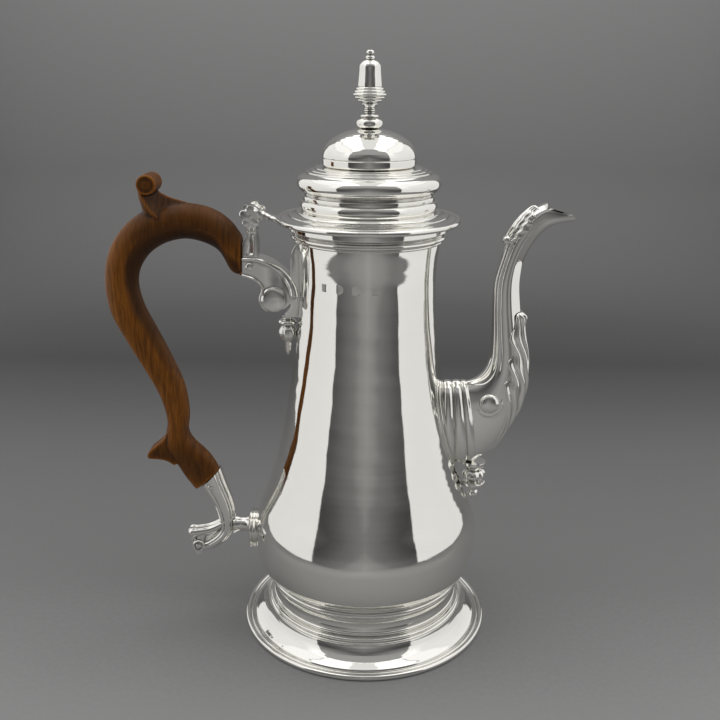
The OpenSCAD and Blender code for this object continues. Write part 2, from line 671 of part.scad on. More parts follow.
// Solid dome surface that the finial's base is fitted to, with its crown at dome_rise
module dome_solid() {
    rotate_extrude() polygon(concat([[0, 0]], [for (a = [0:6:90]) [dome_r * cos(a), dome_rise * sin(a)]]));
}

module finial_acorn() {
    z = finial_z + 20.4 + slip;
    color(silver) rotate_extrude() polygon(concat([[0, z], [5.2, z], [5.1, z + 1.6], [4.9, z + 3.8],
        [4.7, z + 6]], arc(1.6, z + 7.6, 3.05, 10, 80), [[1.4, z + 10.8]], arc(1.25, z + 11.6, 0.75, -70, 70),
        [[1, z + 12.6], [1.1, z + 12.9]], arc(0.7, z + 13.6, 1, -50, 90), [[0, z + 14.6]]));
}

body_shell();
body_rim_mount();
foot();
foot_rim_wire();
spout();
spout_collar();
spout_leaf();
spout_shell();
spout_drop();
upper_socket();
upper_socket_backplate();
upper_socket_drop();
upper_socket_pin();
lower_socket();
lower_socket_scroll();
lower_socket_collar();
lower_socket_pin();
handle();
hinge_post();
hinge_knuckles();
hinge_end_plates();
hinge_pin();
lid_knuckle();
lid_flange();
lid_drum();
lid_dome();
lid_bezel();
finial_baluster();
finial_acorn();
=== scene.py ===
"""Silver coffee pot with a wooden handle. Shapes are worked out in millimetres and scaled to the
frame's metres; the spout points to +X, the handle to -X and the camera looks along +Y."""

import math

import bmesh
import bpy
import numpy as np
from mathutils import Matrix, Vector


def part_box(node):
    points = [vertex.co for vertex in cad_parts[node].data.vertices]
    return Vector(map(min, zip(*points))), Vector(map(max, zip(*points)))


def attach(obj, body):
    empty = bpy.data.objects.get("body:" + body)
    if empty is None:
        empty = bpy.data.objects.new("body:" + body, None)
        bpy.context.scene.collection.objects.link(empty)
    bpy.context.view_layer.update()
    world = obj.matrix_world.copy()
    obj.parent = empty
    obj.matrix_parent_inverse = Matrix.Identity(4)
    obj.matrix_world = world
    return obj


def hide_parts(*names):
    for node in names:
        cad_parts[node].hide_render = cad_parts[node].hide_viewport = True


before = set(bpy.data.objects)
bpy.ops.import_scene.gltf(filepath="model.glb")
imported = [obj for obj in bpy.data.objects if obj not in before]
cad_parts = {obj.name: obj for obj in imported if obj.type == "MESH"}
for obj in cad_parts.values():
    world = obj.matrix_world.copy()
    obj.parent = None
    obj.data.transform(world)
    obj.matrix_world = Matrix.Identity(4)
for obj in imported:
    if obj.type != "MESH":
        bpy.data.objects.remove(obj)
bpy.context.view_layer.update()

MM = 0.001


# ---------- places taken from the frame ----------


def low(node):
    """Lowest corner of a CAD node's box, in millimetres."""
    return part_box(node)[0] / MM


# ---------- curves ----------


def hermite(a, b, slope_a, slope_b, t):
    """Point a fraction t along the cubic from a to b that has these slopes at its ends."""
    return ((2 * t**3 - 3 * t**2 + 1) * a + (t**3 - 2 * t**2 + t) * slope_a
            + (3 * t**2 - 2 * t**3) * b + (t**3 - t**2) * slope_b)


def curve_through(points, steps):
    """Smooth line through the points, which may have any number of coordinates."""
    p = [np.array(q, float) for q in points]
    line = []
    for i in range(len(p) - 1):
        slope_a = (p[i + 1] - p[max(i - 1, 0)]) / 2
        slope_b = (p[min(i + 2, len(p) - 1)] - p[i]) / 2
        line += [hermite(p[i], p[i + 1], slope_a, slope_b, k / steps) for k in range(steps)]
    return np.array(line + [p[-1]])


def arc(centre_at, radius, start, end, steps):
    """Points on a circle in a plane, from one angle to another in degrees."""
    angles = np.radians(np.linspace(start, end, steps + 1))
    return np.column_stack([centre_at[0] + radius * np.cos(angles), centre_at[1] + radius * np.sin(angles)])


def unit(v):
    return v / max(np.linalg.norm(v), 1e-9)


def direction(turn):
    """Unit step in the XZ plane at an angle in degrees."""
    return np.array([math.cos(math.radians(turn)), math.sin(math.radians(turn))])


def smooth_step(low_edge, high_edge, value):
    t = np.clip((value - low_edge) / (high_edge - low_edge), 0, 1)
    return t * t * (3 - 2 * t)


def bump_at(value, middle, width):
    return np.exp(-((value - middle) / width) ** 2)


# ---------- profiles of the turned pieces ----------

SHARP_CORNER = 34
CORNER_EASE = 0.14


def cut_profile(node, axis_x=0.0):
    """Half profile of a turned CAD node as (radius, height) points in order, and whether it closes."""
    bm = bmesh.new()
    bm.from_mesh(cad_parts[node].data)
    bm.transform(Matrix.Scale(1 / MM, 4))
    bmesh.ops.remove_doubles(bm, verts=bm.verts, dist=0.002)
    for plane in ((0, 1, 0), (1, 0, 0)):
        geometry = bm.verts[:] + bm.edges[:] + bm.faces[:]
        cut = bmesh.ops.bisect_plane(bm, geom=geometry, plane_co=(axis_x, 0, 0), plane_no=plane,
                                     clear_outer=True, dist=0.0005)
    links = {}
    for e in cut["geom_cut"]:
        if isinstance(e, bmesh.types.BMEdge):
            a, b = (tuple(np.round((-v.co.y, v.co.z), 3)) for v in e.verts)
            if a != b:
                links.setdefault(a, []).append(b)
                links.setdefault(b, []).append(a)
    bm.free()
    ends = [p for p in links if len(links[p]) == 1]
    start = ends[0] if ends else next(iter(links))
    chain, at = [start], start
    while True:
        onward = [q for q in links[at] if q not in chain]
        if not onward:
            break
        at = onward[0]
        chain.append(at)
    return np.array(chain), not ends


def turn_at(before, at, after):
    """Angle through which a line turns at a point, in degrees."""
    u, v = unit(at - before), unit(after - at)
    return math.degrees(math.acos(np.clip(u @ v, -1, 1)))


def off_line(before, at, after):
    """Distance of a point from the line between its neighbours."""
    u = unit(after - before)
    return abs(u[0] * (at - before)[1] - u[1] * (at - before)[0])


def without_straight_points(p, closed):
    n = len(p)
    keep = [i for i in range(n)
            if (not closed and i in (0, n - 1)) or off_line(p[i - 1], p[i], p[(i + 1) % n]) > 0.003]
    return p[keep]


def tangent_at(before, at, after):
    """Direction of the curve at a point; a stretch much longer than its neighbour counts as straight."""
    into, out = at - before, after - at
    if np.linalg.norm(into) > 2.5 * np.linalg.norm(out):
        return unit(into)
    if np.linalg.norm(out) > 2.5 * np.linalg.norm(into):
        return unit(out)
    return unit(unit(into) * np.linalg.norm(out) + unit(out) * np.linalg.norm(into))


def smooth_profile(profile, closed, step=0.6):
    """Curved stretches made smooth, corners slightly rounded, and points no further apart than step."""
    p = without_straight_points(profile, closed)
    n = len(p)
    is_end = [not closed and i in (0, n - 1) for i in range(n)]
    sharp = [is_end[i] or turn_at(p[i - 1], p[i], p[(i + 1) % n]) > SHARP_CORNER for i in range(n)]
    line = []
    for i in range(n if closed else n - 1):
        j = (i + 1) % n
        chord, length = unit(p[j] - p[i]), np.linalg.norm(p[j] - p[i])
        back = [min(CORNER_EASE, 0.3 * length) if sharp[k] and not is_end[k] else 0 for k in (i, j)]
        a, b = p[i] + chord * back[0], p[j] - chord * back[1]
        slopes = [chord if sharp[k] else tangent_at(p[k - 1], p[k], p[(k + 1) % n]) for k in (i, j)]
        bend = turn_at(a - slopes[0], a, a + slopes[1])
        count = max(1, math.ceil(length / step), math.ceil(bend / 6))
        span = np.linalg.norm(b - a)
        line += [hermite(a, b, slopes[0] * span, slopes[1] * span, k / count) for k in range(count)]
        line.append(b)
        if back[1]:
            after = unit(p[(j + 1) % n] - p[j])
            following = np.linalg.norm(p[(j + 1) % n] - p[j])
            c = p[j] + after * min(CORNER_EASE, 0.3 * following)
            line.append(0.25 * b + 0.5 * p[j] + 0.25 * c)
    kept = [line[0]]
    for q in line[1:]:
        if np.linalg.norm(q - kept[-1]) > 0.004:
            kept.append(q)
    if closed and np.linalg.norm(kept[0] - kept[-1]) < 0.004:
        kept.pop()
    return np.array(kept)


# ---------- meshes ----------


def linked(name, data):
    """A new object in the scene that holds a mesh, a light or a camera."""
    obj = bpy.data.objects.new(name, data)
    bpy.context.scene.collection.objects.link(obj)
    return obj


def new_mesh(name, vertices, faces):
    """A mesh object with its vertices in millimetres, and its faces turned outwards."""
    mesh = bpy.data.meshes.new(name)
    mesh.from_pydata([tuple(float(x) for x in v) for v in vertices], [], faces)
    bm = bmesh.new()
    bm.from_mesh(mesh)
    bmesh.ops.recalc_face_normals(bm, faces=bm.faces)
    bm.to_mesh(mesh)
    bm.free()
    return linked(name, mesh)


def grid_faces(rows, columns, rows_close=False):
    """Quads between neighbouring rings, each of which closes on itself."""
    faces = []
    for i in range(rows if rows_close else rows - 1):
        for k in range(columns):
            j, m = (i + 1) % rows, (k + 1) % columns
            faces.append((i * columns + k, i * columns + m, j * columns + m, j * columns + k))
    return faces


def revolve(name, profile, closed, segments, put_at, reshape=None):
    """Turned piece on (radius, height) points. put_at(u, v, height) puts a point in space, with u and v
    square to the axis, and reshape(r, angle, height) gives each point's radius."""
    on_axis = [not closed and profile[k][0] < 0.02 for k in (0, -1)]
    body = np.array(profile[int(on_axis[0]):len(profile) - int(on_axis[1])], float)
    angles = np.linspace(0, 2 * math.pi, segments, endpoint=False)
    r, height = body[:, :1] + 0 * angles, body[:, 1:] + 0 * angles
    if reshape:
        r = reshape(r, 0 * r + angles, height)
    rings = put_at(r * np.cos(angles), r * np.sin(angles), height)
    points = list(np.stack(rings, axis=-1).reshape(-1, 3))
    faces = grid_faces(len(body), segments, rows_close=closed)
    for k, row in ((0, 0), (-1, len(body) - 1)):
        if on_axis[k]:
            points.append(put_at(0, 0, profile[k][1]))
            faces += [(row * segments + m, row * segments + (m + 1) % segments, len(points) - 1)
                      for m in range(segments)]
    return new_mesh(name, points, faces)


def lathe(name, profile, closed, segments=192, axis_x=0.0, reshape=None):
    """Piece turned about the vertical through axis_x."""
    return revolve(name, profile, closed, segments, lambda u, v, z: (axis_x + u, v, z), reshape)


def turned_across(name, profile, at, segments=64):
    """Piece turned about a line across the pot; profile is (radius, y) points, and closes round a bore
    when it starts off the axis."""
    return revolve(name, profile, profile[0][0] > 0.02, segments, lambda u, v, y: (at[0] + u, y, at[1] + v))


def turned_along(name, profile, z, segments=96):
    """Piece turned about a line along the pot at height z; profile is (radius, -x) points."""
    return revolve(name, profile, False, segments, lambda u, v, out: (-out, u, z + v))


def double_ended(name, half, at, segments=64):
    """Piece turned across the pot that is the same at both ends, from the far half of its profile."""
    near = [(r, -y) for r, y in reversed(half)]
    return turned_across(name, near + list(half), at, segments)


def rod(name, at, radius, half, segments=96):
    """Plain round rod across the pot, or the bore that it would need."""
    return double_ended(name, [(radius, half), (0, half)], at, segments)


def ball(name, at, radius, half_y):
    """Ball or button turned across the pot."""
    a = np.linspace(0, math.pi, 25)
    profile = np.column_stack([radius * np.sin(a), at[1] + half_y * np.cos(a)])
    return turned_across(name, profile, (at[0], at[2]), 32)


def loft(name, rings):
    """Solid through rings that all have the same number of points, capped at both ends."""
    rows, columns = len(rings), len(rings[0])
    caps = [tuple(range(columns)), tuple(range((rows - 1) * columns, rows * columns))]
    return new_mesh(name, np.array(rings).reshape(-1, 3), grid_faces(rows, columns) + caps)


def tube(name, line, radii, sides):
    """Rod along a line in space with a radius at each point."""
    line = np.array(line, float)
    rings = []
    for i, p in enumerate(line):
        forward = unit(line[min(i + 1, len(line) - 1)] - line[max(i - 1, 0)])
        across = unit(np.cross(forward, (0, 1, 0)))
        other = np.cross(across, forward)
        angles = np.linspace(0, 2 * math.pi, sides, endpoint=False)
        rings.append([p + radii[i] * (math.cos(a) * across + math.sin(a) * other) for a in angles])
    return loft(name, rings)


def prism(name, outline, near, far):
    """Outline in the XZ plane drawn out across the pot from one y to another."""
    n = len(outline)
    points = [(x, y, z) for y in (near, far) for x, z in outline]
    faces = [tuple(range(n)), tuple(range(2 * n - 1, n - 1, -1))]
    faces += [(k, (k + 1) % n, n + (k + 1) % n, n + k) for k in range(n)]
    return new_mesh(name, points, faces)


def slab(name, outline, half):
    return prism(name, outline, -half, half)


def bar(name, middle, turn, length, half_height, half_width):
    """Square bar in the XZ plane, turned by an angle in degrees."""
    along = direction(turn)
    up = np.array([-along[1], along[0]])
    corners = [middle + s * length / 2 * along + t * half_height * up
               for s, t in ((-1, -1), (1, -1), (1, 1), (-1, 1))]
    return slab(name, corners, half_width)


def apply_modifiers(obj):
    """Replaces the mesh with what its modifiers make of it."""
    evaluated = obj.evaluated_get(bpy.context.evaluated_depsgraph_get())
    made = bpy.data.meshes.new_from_object(evaluated)
    obj.modifiers.clear()
    obj.data = made
    return obj


def combine(obj, others, operation):
    """Boolean of obj with each of the others, which are used up."""
    for other in others:
        modifier = obj.modifiers.new("cut", "BOOLEAN")
        modifier.operation, modifier.solver, modifier.object = operation, "EXACT", other
        apply_modifiers(obj)
        bpy.data.objects.remove(other)
    return obj


def cut(obj, *others):
    return combine(obj, others, "DIFFERENCE")


def join(name, pieces):
    """One mesh object that holds the meshes of all the pieces, which are used up."""
    bm = bmesh.new()
    for piece in pieces:
        bm.from_mesh(piece.data)
        bpy.data.objects.remove(piece)
    mesh = bpy.data.meshes.new(name)
    bm.to_mesh(mesh)
    bm.free()
    return linked(name, mesh)


def fuse(name, pieces, voxel, rounds):
    """One flowing skin round overlapping pieces, as a casting or a carving has."""
    obj = join(name, pieces)
    remesh = obj.modifiers.new("skin", "REMESH")
    remesh.mode, remesh.voxel_size = "VOXEL", voxel
    smooth = obj.modifiers.new("smooth", "SMOOTH")
    smooth.factor, smooth.iterations = 0.5, rounds
    return apply_modifiers(obj)


def round_edges(obj, width, segments=3, angle=35):
    bevel = obj.modifiers.new("edges", "BEVEL")
    bevel.width, bevel.segments, bevel.angle_limit = width, segments, math.radians(angle)
    bevel.limit_method = "ANGLE"
    return apply_modifiers(obj)


def vertex_array(mesh, name="co"):
    values = np.empty(len(mesh.vertices) * 3, np.float32)
    mesh.vertices.foreach_get(name, values)
    return values.reshape(-1, 3).astype(float)


def move_vertices(obj, change):
    """Moves each vertex to change(points), with points in millimetres."""
    points = vertex_array(obj.data)
    obj.data.vertices.foreach_set("co", change(points).astype(np.float32).ravel())
    obj.data.update()


def mark_hollows(mesh, reach, rounds):
    """Stores how hollow or how raised the surface is at each vertex, from 0 to 1, for the materials.
    reach is the radius of curvature in millimetres that counts as fully hollow or raised."""
    count = len(mesh.vertices)
    points, normals = vertex_array(mesh), vertex_array(mesh, "normal")
    pairs = np.empty(len(mesh.edges) * 2, np.int32)
    mesh.edges.foreach_get("vertices", pairs)
    a, b = pairs.reshape(-1, 2).T
    span = points[b] - points[a]
    length = np.maximum(np.linalg.norm(span, axis=1), 1e-4)
    bend = ((normals[b] - normals[a]) * span).sum(1) / length**2
    number = np.maximum(np.bincount(a, minlength=count) + np.bincount(b, minlength=count), 1)
    value = (np.bincount(a, bend, count) + np.bincount(b, bend, count)) / number
    value = np.clip(value * reach, -1, 1)
    for _ in range(rounds):
        near = (np.bincount(a, value[b], count) + np.bincount(b, value[a], count)) / number
        value = 0.4 * value + 0.6 * near
    for name, amount in (("hollow", -value), ("raised", value)):
        layer = mesh.attributes.new(name, "FLOAT", "POINT")
        layer.data.foreach_set("value", np.clip(amount, 0, 1).astype(np.float32))


def place(obj, body, material, nodes, reach=1.2, rounds=3, crease=38):
    """Gives a finished mesh its masks, shading and material, and puts it in the frame."""
    mesh = obj.data
    mesh.shade_smooth()
    mesh.set_sharp_from_angle(angle=math.radians(crease))
    mark_hollows(mesh, reach, rounds)
    mesh.transform(Matrix.Scale(MM, 4))
    mesh.materials.clear()
    mesh.materials.append(material)
    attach(obj, body)
    if nodes:
        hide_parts(*nodes)


# ---------- materials ----------


class Tree:
    """Short hand for building a material's nodes."""

    def __init__(self, name):
        self.material = bpy.data.materials.new(name)
        self.material["slot"] = name
        self.material.use_nodes = True
        self.nodes, self.links = self.material.node_tree.nodes, self.material.node_tree.links
        self.place = self.nodes.new("ShaderNodeTexCoord").outputs["Object"]

    def fill(self, node, inputs):
        """Sets a node's inputs, each to a number or a colour or to another node's output."""
        for name, value in inputs.items():
            if isinstance(value, bpy.types.NodeSocket):
                self.links.new(value, node.inputs[name])
            else:
                node.inputs[name].default_value = value

    def node(self, kind, inputs, **settings):
        node = self.nodes.new("ShaderNode" + kind)
        for name, value in settings.items():
            setattr(node, name, value)
        self.fill(node, inputs)
        return node

    def mapped(self, scale, rotation):
        return self.node("Mapping", {"Vector": self.place, "Scale": scale, "Rotation": rotation}).outputs[0]

    def noise(self, scale, detail=3, rough=0.5, vector=None, distortion=0.0):
        return self.node("TexNoise", {"Vector": vector or self.place, "Scale": scale, "Detail": detail,
                                      "Roughness": rough, "Distortion": distortion}).outputs["Fac"]

    def span(self, value, low_in, high_in, low_out=0.0, high_out=1.0):
        return self.node("MapRange", {"Value": value, "From Min": low_in, "From Max": high_in,
                                      "To Min": low_out, "To Max": high_out}).outputs["Result"]

    def math(self, operation, a, b=0.0):
        return self.node("Math", {0: a, 1: b}, operation=operation).outputs[0]

    def mix(self, amount, a, b):
        return self.node("Mix", {"Factor": amount, "A": a, "B": b}, data_type="RGBA").outputs["Result"]

    def attribute(self, name):
        return self.node("Attribute", {}, attribute_name=name).outputs["Fac"]

    def bump(self, height, strength, distance, under=None):
        inputs = {"Height": height, "Strength": strength, "Distance": distance}
        return self.node("Bump", inputs | ({"Normal": under} if under else {})).outputs["Normal"]

    def finish(self, inputs):
        self.fill(self.nodes["Principled BSDF"], inputs)
        return self.material


def silver(name, roughness, hairlines, tarnish):
    """Polished sterling: warm white metal with fine hairlines, soft smears and dark oxide in its hollows."""
    t = Tree(name)
    smears = t.noise(38, 4, 0.55, distortion=0.4)
    lines = t.noise(1, 2, 0.7, vector=t.mapped((260, 260, 3200), (0.5, 0.3, 0.2)))
    crossing = t.noise(1, 2, 0.7, vector=t.mapped((2600, 200, 240), (0.2, 0.9, 0.6)))
    stain = t.span(t.noise(210, 5, 0.65), 0.3, 0.62, 0.55 * tarnish, 1.25 * tarnish)
    dark = t.math("MINIMUM", t.math("MULTIPLY", t.attribute("hollow"), stain), 0.92)
    film = t.math("MULTIPLY", t.span(smears, 0.5, 0.8), 0.05 + 0.12 * tarnish)
    bright = t.mix(film, (0.936, 0.926, 0.886, 1), (0.80, 0.765, 0.70, 1))
    polish = t.math("ADD", t.span(smears, 0.3, 0.75, roughness * 0.8, roughness * 1.35),
                    t.math("MULTIPLY", dark, 0.22))
    worn = t.math("MULTIPLY", t.span(lines, 0.62, 0.8), 0.05)
    fine = t.bump(t.math("ADD", lines, t.math("MULTIPLY", crossing, 0.7)), hairlines, 0.00004)
    return t.finish({
        "Base Color": t.mix(dark, bright, (0.115, 0.098, 0.078, 1)), "Metallic": 1.0,
        "Roughness": t.math("ADD", polish, worn), "Normal": t.bump(t.noise(95, 2, 0.5), 0.22, 0.00012, fine)})


def fruitwood():
    """Old polished fruitwood: orange brown, darker where it is handled, with fine straight grain; painted shade
    in its hollows and on the inside of the grip, and a painted highlight along its ridges.
    """
    t = Tree("fruitwood")
    lean = (0.1, -0.45, 0.15)
    grain = t.noise(1, 5, 0.65, vector=t.mapped((900, 120, 60), lean), distortion=0.8)
    pores = t.noise(1, 3, 0.6, vector=t.mapped((2600, 900, 240), lean))
    streaks = t.noise(1, 4, 0.6, vector=t.mapped((330, 90, 34), lean), distortion=1.0)
    cloud = t.noise(34, 4, 0.6)
    # Darkening mask: painted shade in the hollows and on the inside of the grip, with handling stain over the
    # shoulder
    patina_and_shade = t.math("MAXIMUM", t.math("MULTIPLY", t.attribute("hollow"), 1.6), t.attribute("patina_and_shade"))
    patina_and_shade = t.math("MULTIPLY", patina_and_shade, t.span(t.noise(22, 3, 0.5), 0.3, 0.65, 0.75, 1.0))
    base = t.mix(t.span(grain, 0.36, 0.64), (0.085, 0.028, 0.004, 1), (0.35, 0.125, 0.016, 1))
    base = t.mix(t.math("MULTIPLY", t.span(cloud, 0.4, 0.7), 0.6), base, (0.22, 0.075, 0.010, 1))
    base = t.mix(t.math("MULTIPLY", t.span(streaks, 0.52, 0.7), 0.7), base, (0.045, 0.016, 0.006, 1))
    # Painted shade and handling stain: near black brown laid on where the mask is strong
    base = t.mix(t.math("MINIMUM", patina_and_shade, 1.0), base, (0.018, 0.008, 0.004, 1))
    # Painted highlight: raised ridges and edges lightened to a bright orange brown
    base = t.mix(t.math("MULTIPLY", t.attribute("raised"), 0.55), base, (0.50, 0.175, 0.022, 1))
    base = t.mix(t.math("MULTIPLY", t.span(pores, 0.6, 0.75), 0.5), base, (0.03, 0.012, 0.005, 1))
    relief = t.bump(t.math("SUBTRACT", grain, pores), 0.3, 0.0001, t.bump(cloud, 0.25, 0.0006))
    return t.finish({"Base Color": base, "Roughness": t.span(cloud, 0.3, 0.7, 0.40, 0.55), "Coat Weight": 0.07,
                     "Coat Roughness": 0.25, "Specular IOR Level": 0.14, "Normal": relief})


def floor_material():
    """Plain pale paper with painted light and shade, as in a tent: brighter in front, darkest where it starts to
    rise behind.
    """
    t = Tree("pale_paper")
    x, y, z = t.node("SeparateXYZ", {0: t.place}).outputs
    sideways = t.math("SUBTRACT", t.math("MULTIPLY", t.math("ABSOLUTE", x), 0.9), 0.25)
    back = t.math("ADD", t.math("MAXIMUM", y, sideways), z)
    ramp = t.nodes.new("ShaderNodeValToRGB")
    # Painted light and shade by place: bright in front, darkest at the foot of the wall, lighter again up the wall
    shades = ((-0.25, 0.45), (-0.2, 0.4), (-0.07, 0.34), (0.02, 0.25), (0.2, 0.188), (0.3, 0.14), (0.4, 0.105),
              (0.5, 0.142), (0.77, 0.262), (1.07, 0.36))
    first, last = shades[0][0], shades[-1][0]
    stops = ramp.color_ramp.elements
    for at, shade in shades[1:-1]:
        stops.new((at - first) / (last - first))
    for stop, (at, shade) in zip(stops, shades):
        stop.color = (shade, shade, shade * 1.01, 1)
    mottle = t.span(t.noise(420, 4, 0.6), 0.3, 0.7, -0.012, 0.012)
    t.fill(ramp, {"Fac": t.span(t.math("ADD", back, mottle), first, last)})
    return t.finish({"Base Color": ramp.outputs["Color"], "Roughness": 0.9, "Specular IOR Level": 0.15,
                     "Normal": t.bump(t.noise(2600, 2), 0.12, 0.0002)})


POLISHED = silver("polished_silver", 0.055, 0.10, 0.55)
CAST = silver("cast_silver", 0.085, 0.16, 1.0)
HINGE = silver("hinge_silver", 0.11, 0.22, 0.85)
WOOD = fruitwood()


# ---------- raised and turned silver ----------


def hand_raised(depth):
    """Gentle hollows left by the hammer: a reshape function for lathe(), with its depth in millimetres."""
    waves = ((3, 0.041, 0.4, 0.8), (5, 0.083, 1.9, 0.7), (8, 0.052, 3.1, 0.45), (12, 0.12, 5.2, 0.4),
             (2, 0.19, 2.4, 0.45), (17, 0.07, 0.9, 0.22), (7, 0.23, 4.4, 0.3))

    def reshape(r, angle, z):
        total = sum(size * np.sin(turns * angle + pitch * 2 * math.pi * z / 3 + phase)
                    * np.cos(pitch * z + phase * turns) for turns, pitch, phase, size in waves)
        return r + depth * total

    return reshape


def turned(name, node, body, material, segments, hammered=0.0, step=0.6):
    """Turned piece on a CAD node's own profile."""
    profile, closed = cut_profile(node)
    shape = hand_raised(hammered) if hammered else None
    obj = lathe(name, smooth_profile(profile, closed, step), closed, segments, reshape=shape)
    place(obj, body, material, [node])


def make_turned_pieces():
    make_body()
    turned("body_rim_moulding", "body_rim_mount", "pot", POLISHED, 224)
    turned("spun_foot", "foot", "pot", POLISHED, 224, hammered=0.015)
    turned("foot_wire", "foot_rim_wire", "pot", POLISHED, 224, hammered=0.012)
    turned("drum", "lid_drum", "lid", POLISHED, 208, hammered=0.02)
    turned("dome", "lid_dome", "lid", POLISHED, 176, hammered=0.02)
    turned("bezel", "lid_bezel", "lid", POLISHED, 176)
    turned("baluster", "finial_baluster", "lid", CAST, 128, step=0.25)
    turned("acorn", "finial_acorn", "lid", CAST, 128, step=0.25)


# ---------- pieces across the pot ----------


def contour(section, angles, grow=0.0, fullness=0.9):
    """Points round a section, from its second edge (0 degrees) over the far side to its first (180).
    grow, one number or one for each angle, moves the surface outwards."""
    first, second = np.array(section[:2], float), np.array(section[2:4], float)
    middle, half = (first + second) / 2, (second - first) / 2
    size = np.linalg.norm(half)
    c, s = np.cos(np.radians(angles)), np.sin(np.radians(angles))
    reach = (size + grow) / size * np.sign(c) * np.abs(c) ** fullness
    across = (section[4] + grow) * np.sign(s) * np.abs(s) ** fullness
    return np.column_stack([middle[0] + half[0] * reach, across, middle[1] + half[1] * reach])


def folded(angles):
    """The same angle on both sides of a section: 0 at its second edge, 180 at its first."""
    return np.abs((np.asarray(angles) + 180) % 360 - 180)


# ---------- spout ----------

ROOT_Z = 99.0
SPOUT_SECTIONS = [
    (34, ROOT_Z + 20, 34, ROOT_Z - 16, 6.6), (44.5, ROOT_Z + 21.4, 50, ROOT_Z - 17, 7.4),
    (50, ROOT_Z + 23.3, 59.6, ROOT_Z - 10.2, 8), (53.8, ROOT_Z + 27.2, 67.4, ROOT_Z + 2.8, 8.4),
    (55.6, ROOT_Z + 32.6, 72.4, ROOT_Z + 16.8, 8.2), (56.1, 139, 72.8, 130.6, 7.4),
    (56, 148.4, 69.9, 146.4, 6.4), (55.7, 157.6, 68.1, 158.4, 5.9), (56, 168, 67.5, 168.4, 5.5),
    (58.4, 177.8, 69.1, 178.4, 5.3), (61.3, 187, 74, 187.4, 5.3), (67.6, 196.6, 79.2, 192.2, 5.4),
    (76.6, 202.4, 84.2, 193.9, 5.2), (87.6, 203.5, 89.6, 194.7, 3.4)]
SPOUT_STEPS = 8
SPOUT_LINE = curve_through(SPOUT_SECTIONS, SPOUT_STEPS)
SPOUT_WALL = 1.1
RING_ANGLES = np.linspace(0, 360, 120, endpoint=False)


def spout_station(along):
    """Section at a place counted in the sections of the list above."""
    place_on = np.clip(along * SPOUT_STEPS, 0, len(SPOUT_LINE) - 1)
    i = min(int(place_on), len(SPOUT_LINE) - 2)
    return SPOUT_LINE[i] + (SPOUT_LINE[i + 1] - SPOUT_LINE[i]) * (place_on - i)


def spout_relief(angles, along):
    """Two narrow reeds up each side of the back, a plain side, and a flatter facet towards the front."""
    a = folded(angles)
    rise = smooth_step(3.2, 4.6, along) * (1 - smooth_step(10.6, 11.6, along))
    reeds = -0.42 * (bump_at(a, 141, 4) + bump_at(a, 121, 4)) - 0.14 * bump_at(a, 165, 9)
    facet = -0.42 * np.sin(np.clip(a / 84, 0, 1) * math.pi) ** 1.2 - 0.18 * bump_at(a, 88, 3.5)
    return rise * (reeds + facet)


def body_blank():
    """The body's outside as a solid, cut from the pieces that are soldered to it."""
    profile, closed = cut_profile("body_shell")
    outer = smooth_profile(profile, closed, 2.5)
    top = max(z for r, z in outer)
    start = int(np.argmin([r + z for r, z in outer]))
    outer = np.roll(outer, -start, axis=0)
    if outer[3][0] < outer[-3][0] and outer[len(outer) // 4][1] > outer[-len(outer) // 4][1]:
        outer = outer[::-1]
    end = int(np.argmax(outer[:, 1]))
    wall = [p for p in outer[:end + 1] if p[0] > 20]
    return lathe("blank", [(0, low("body_shell")[2] + 2), *wall, (0, top)], False)


def make_spout():
    outer = [contour(s, RING_ANGLES, spout_relief(RING_ANGLES, i / SPOUT_STEPS))
             for i, s in enumerate(SPOUT_LINE)]
    inner = [contour(s, RING_ANGLES, -SPOUT_WALL) for s in SPOUT_LINE]
    inner[0], inner[-1] = inner[0] - (1, 0, 0), inner[-1] + (1.5, 0, 0.3)
    tube_solid = loft("swan_neck_spout", outer)
    channel = loft("channel", inner)
    above = slab("above", [(76.6, 200.2), (97, 194.9), (100, 206), (79.6, 211.3)], 12)
    cut(tube_solid, channel, body_blank(), above)
    place(tube_solid, "pot", POLISHED, ["spout"], crease=50)


def on_spout(name, start, stop, middle, spread, thickness, rows, columns, lift=0.03):
    """Solid lying on the spout about an angle. spread(u) is its half angle at a fraction u of its length,
    and thickness(u, v) its thickness there, with v from -1 to 1 across it."""
    under, over = [], []
    for i in range(rows + 1):
        u = i / rows
        section = spout_station(start + (stop - start) * u)
        v = np.linspace(-1, 1, columns + 1)
        angles = middle + v * spread(u)
        under.append(contour(section, angles, lift))
        over.append(contour(section, angles, lift + 0.12 + thickness(u, v)))
    rings = [np.vstack([a, b[::-1]]) for a, b in zip(under, over)]
    rows_of, count = len(rings), len(rings[0])
    faces = grid_faces(rows_of, count)
    for row in (0, rows_of - 1):
        base = row * count
        for k in range(columns):
            faces.append((base + k, base + k + 1, base + count - 2 - k, base + count - 1 - k))
    return new_mesh(name, np.vstack(rings), faces)


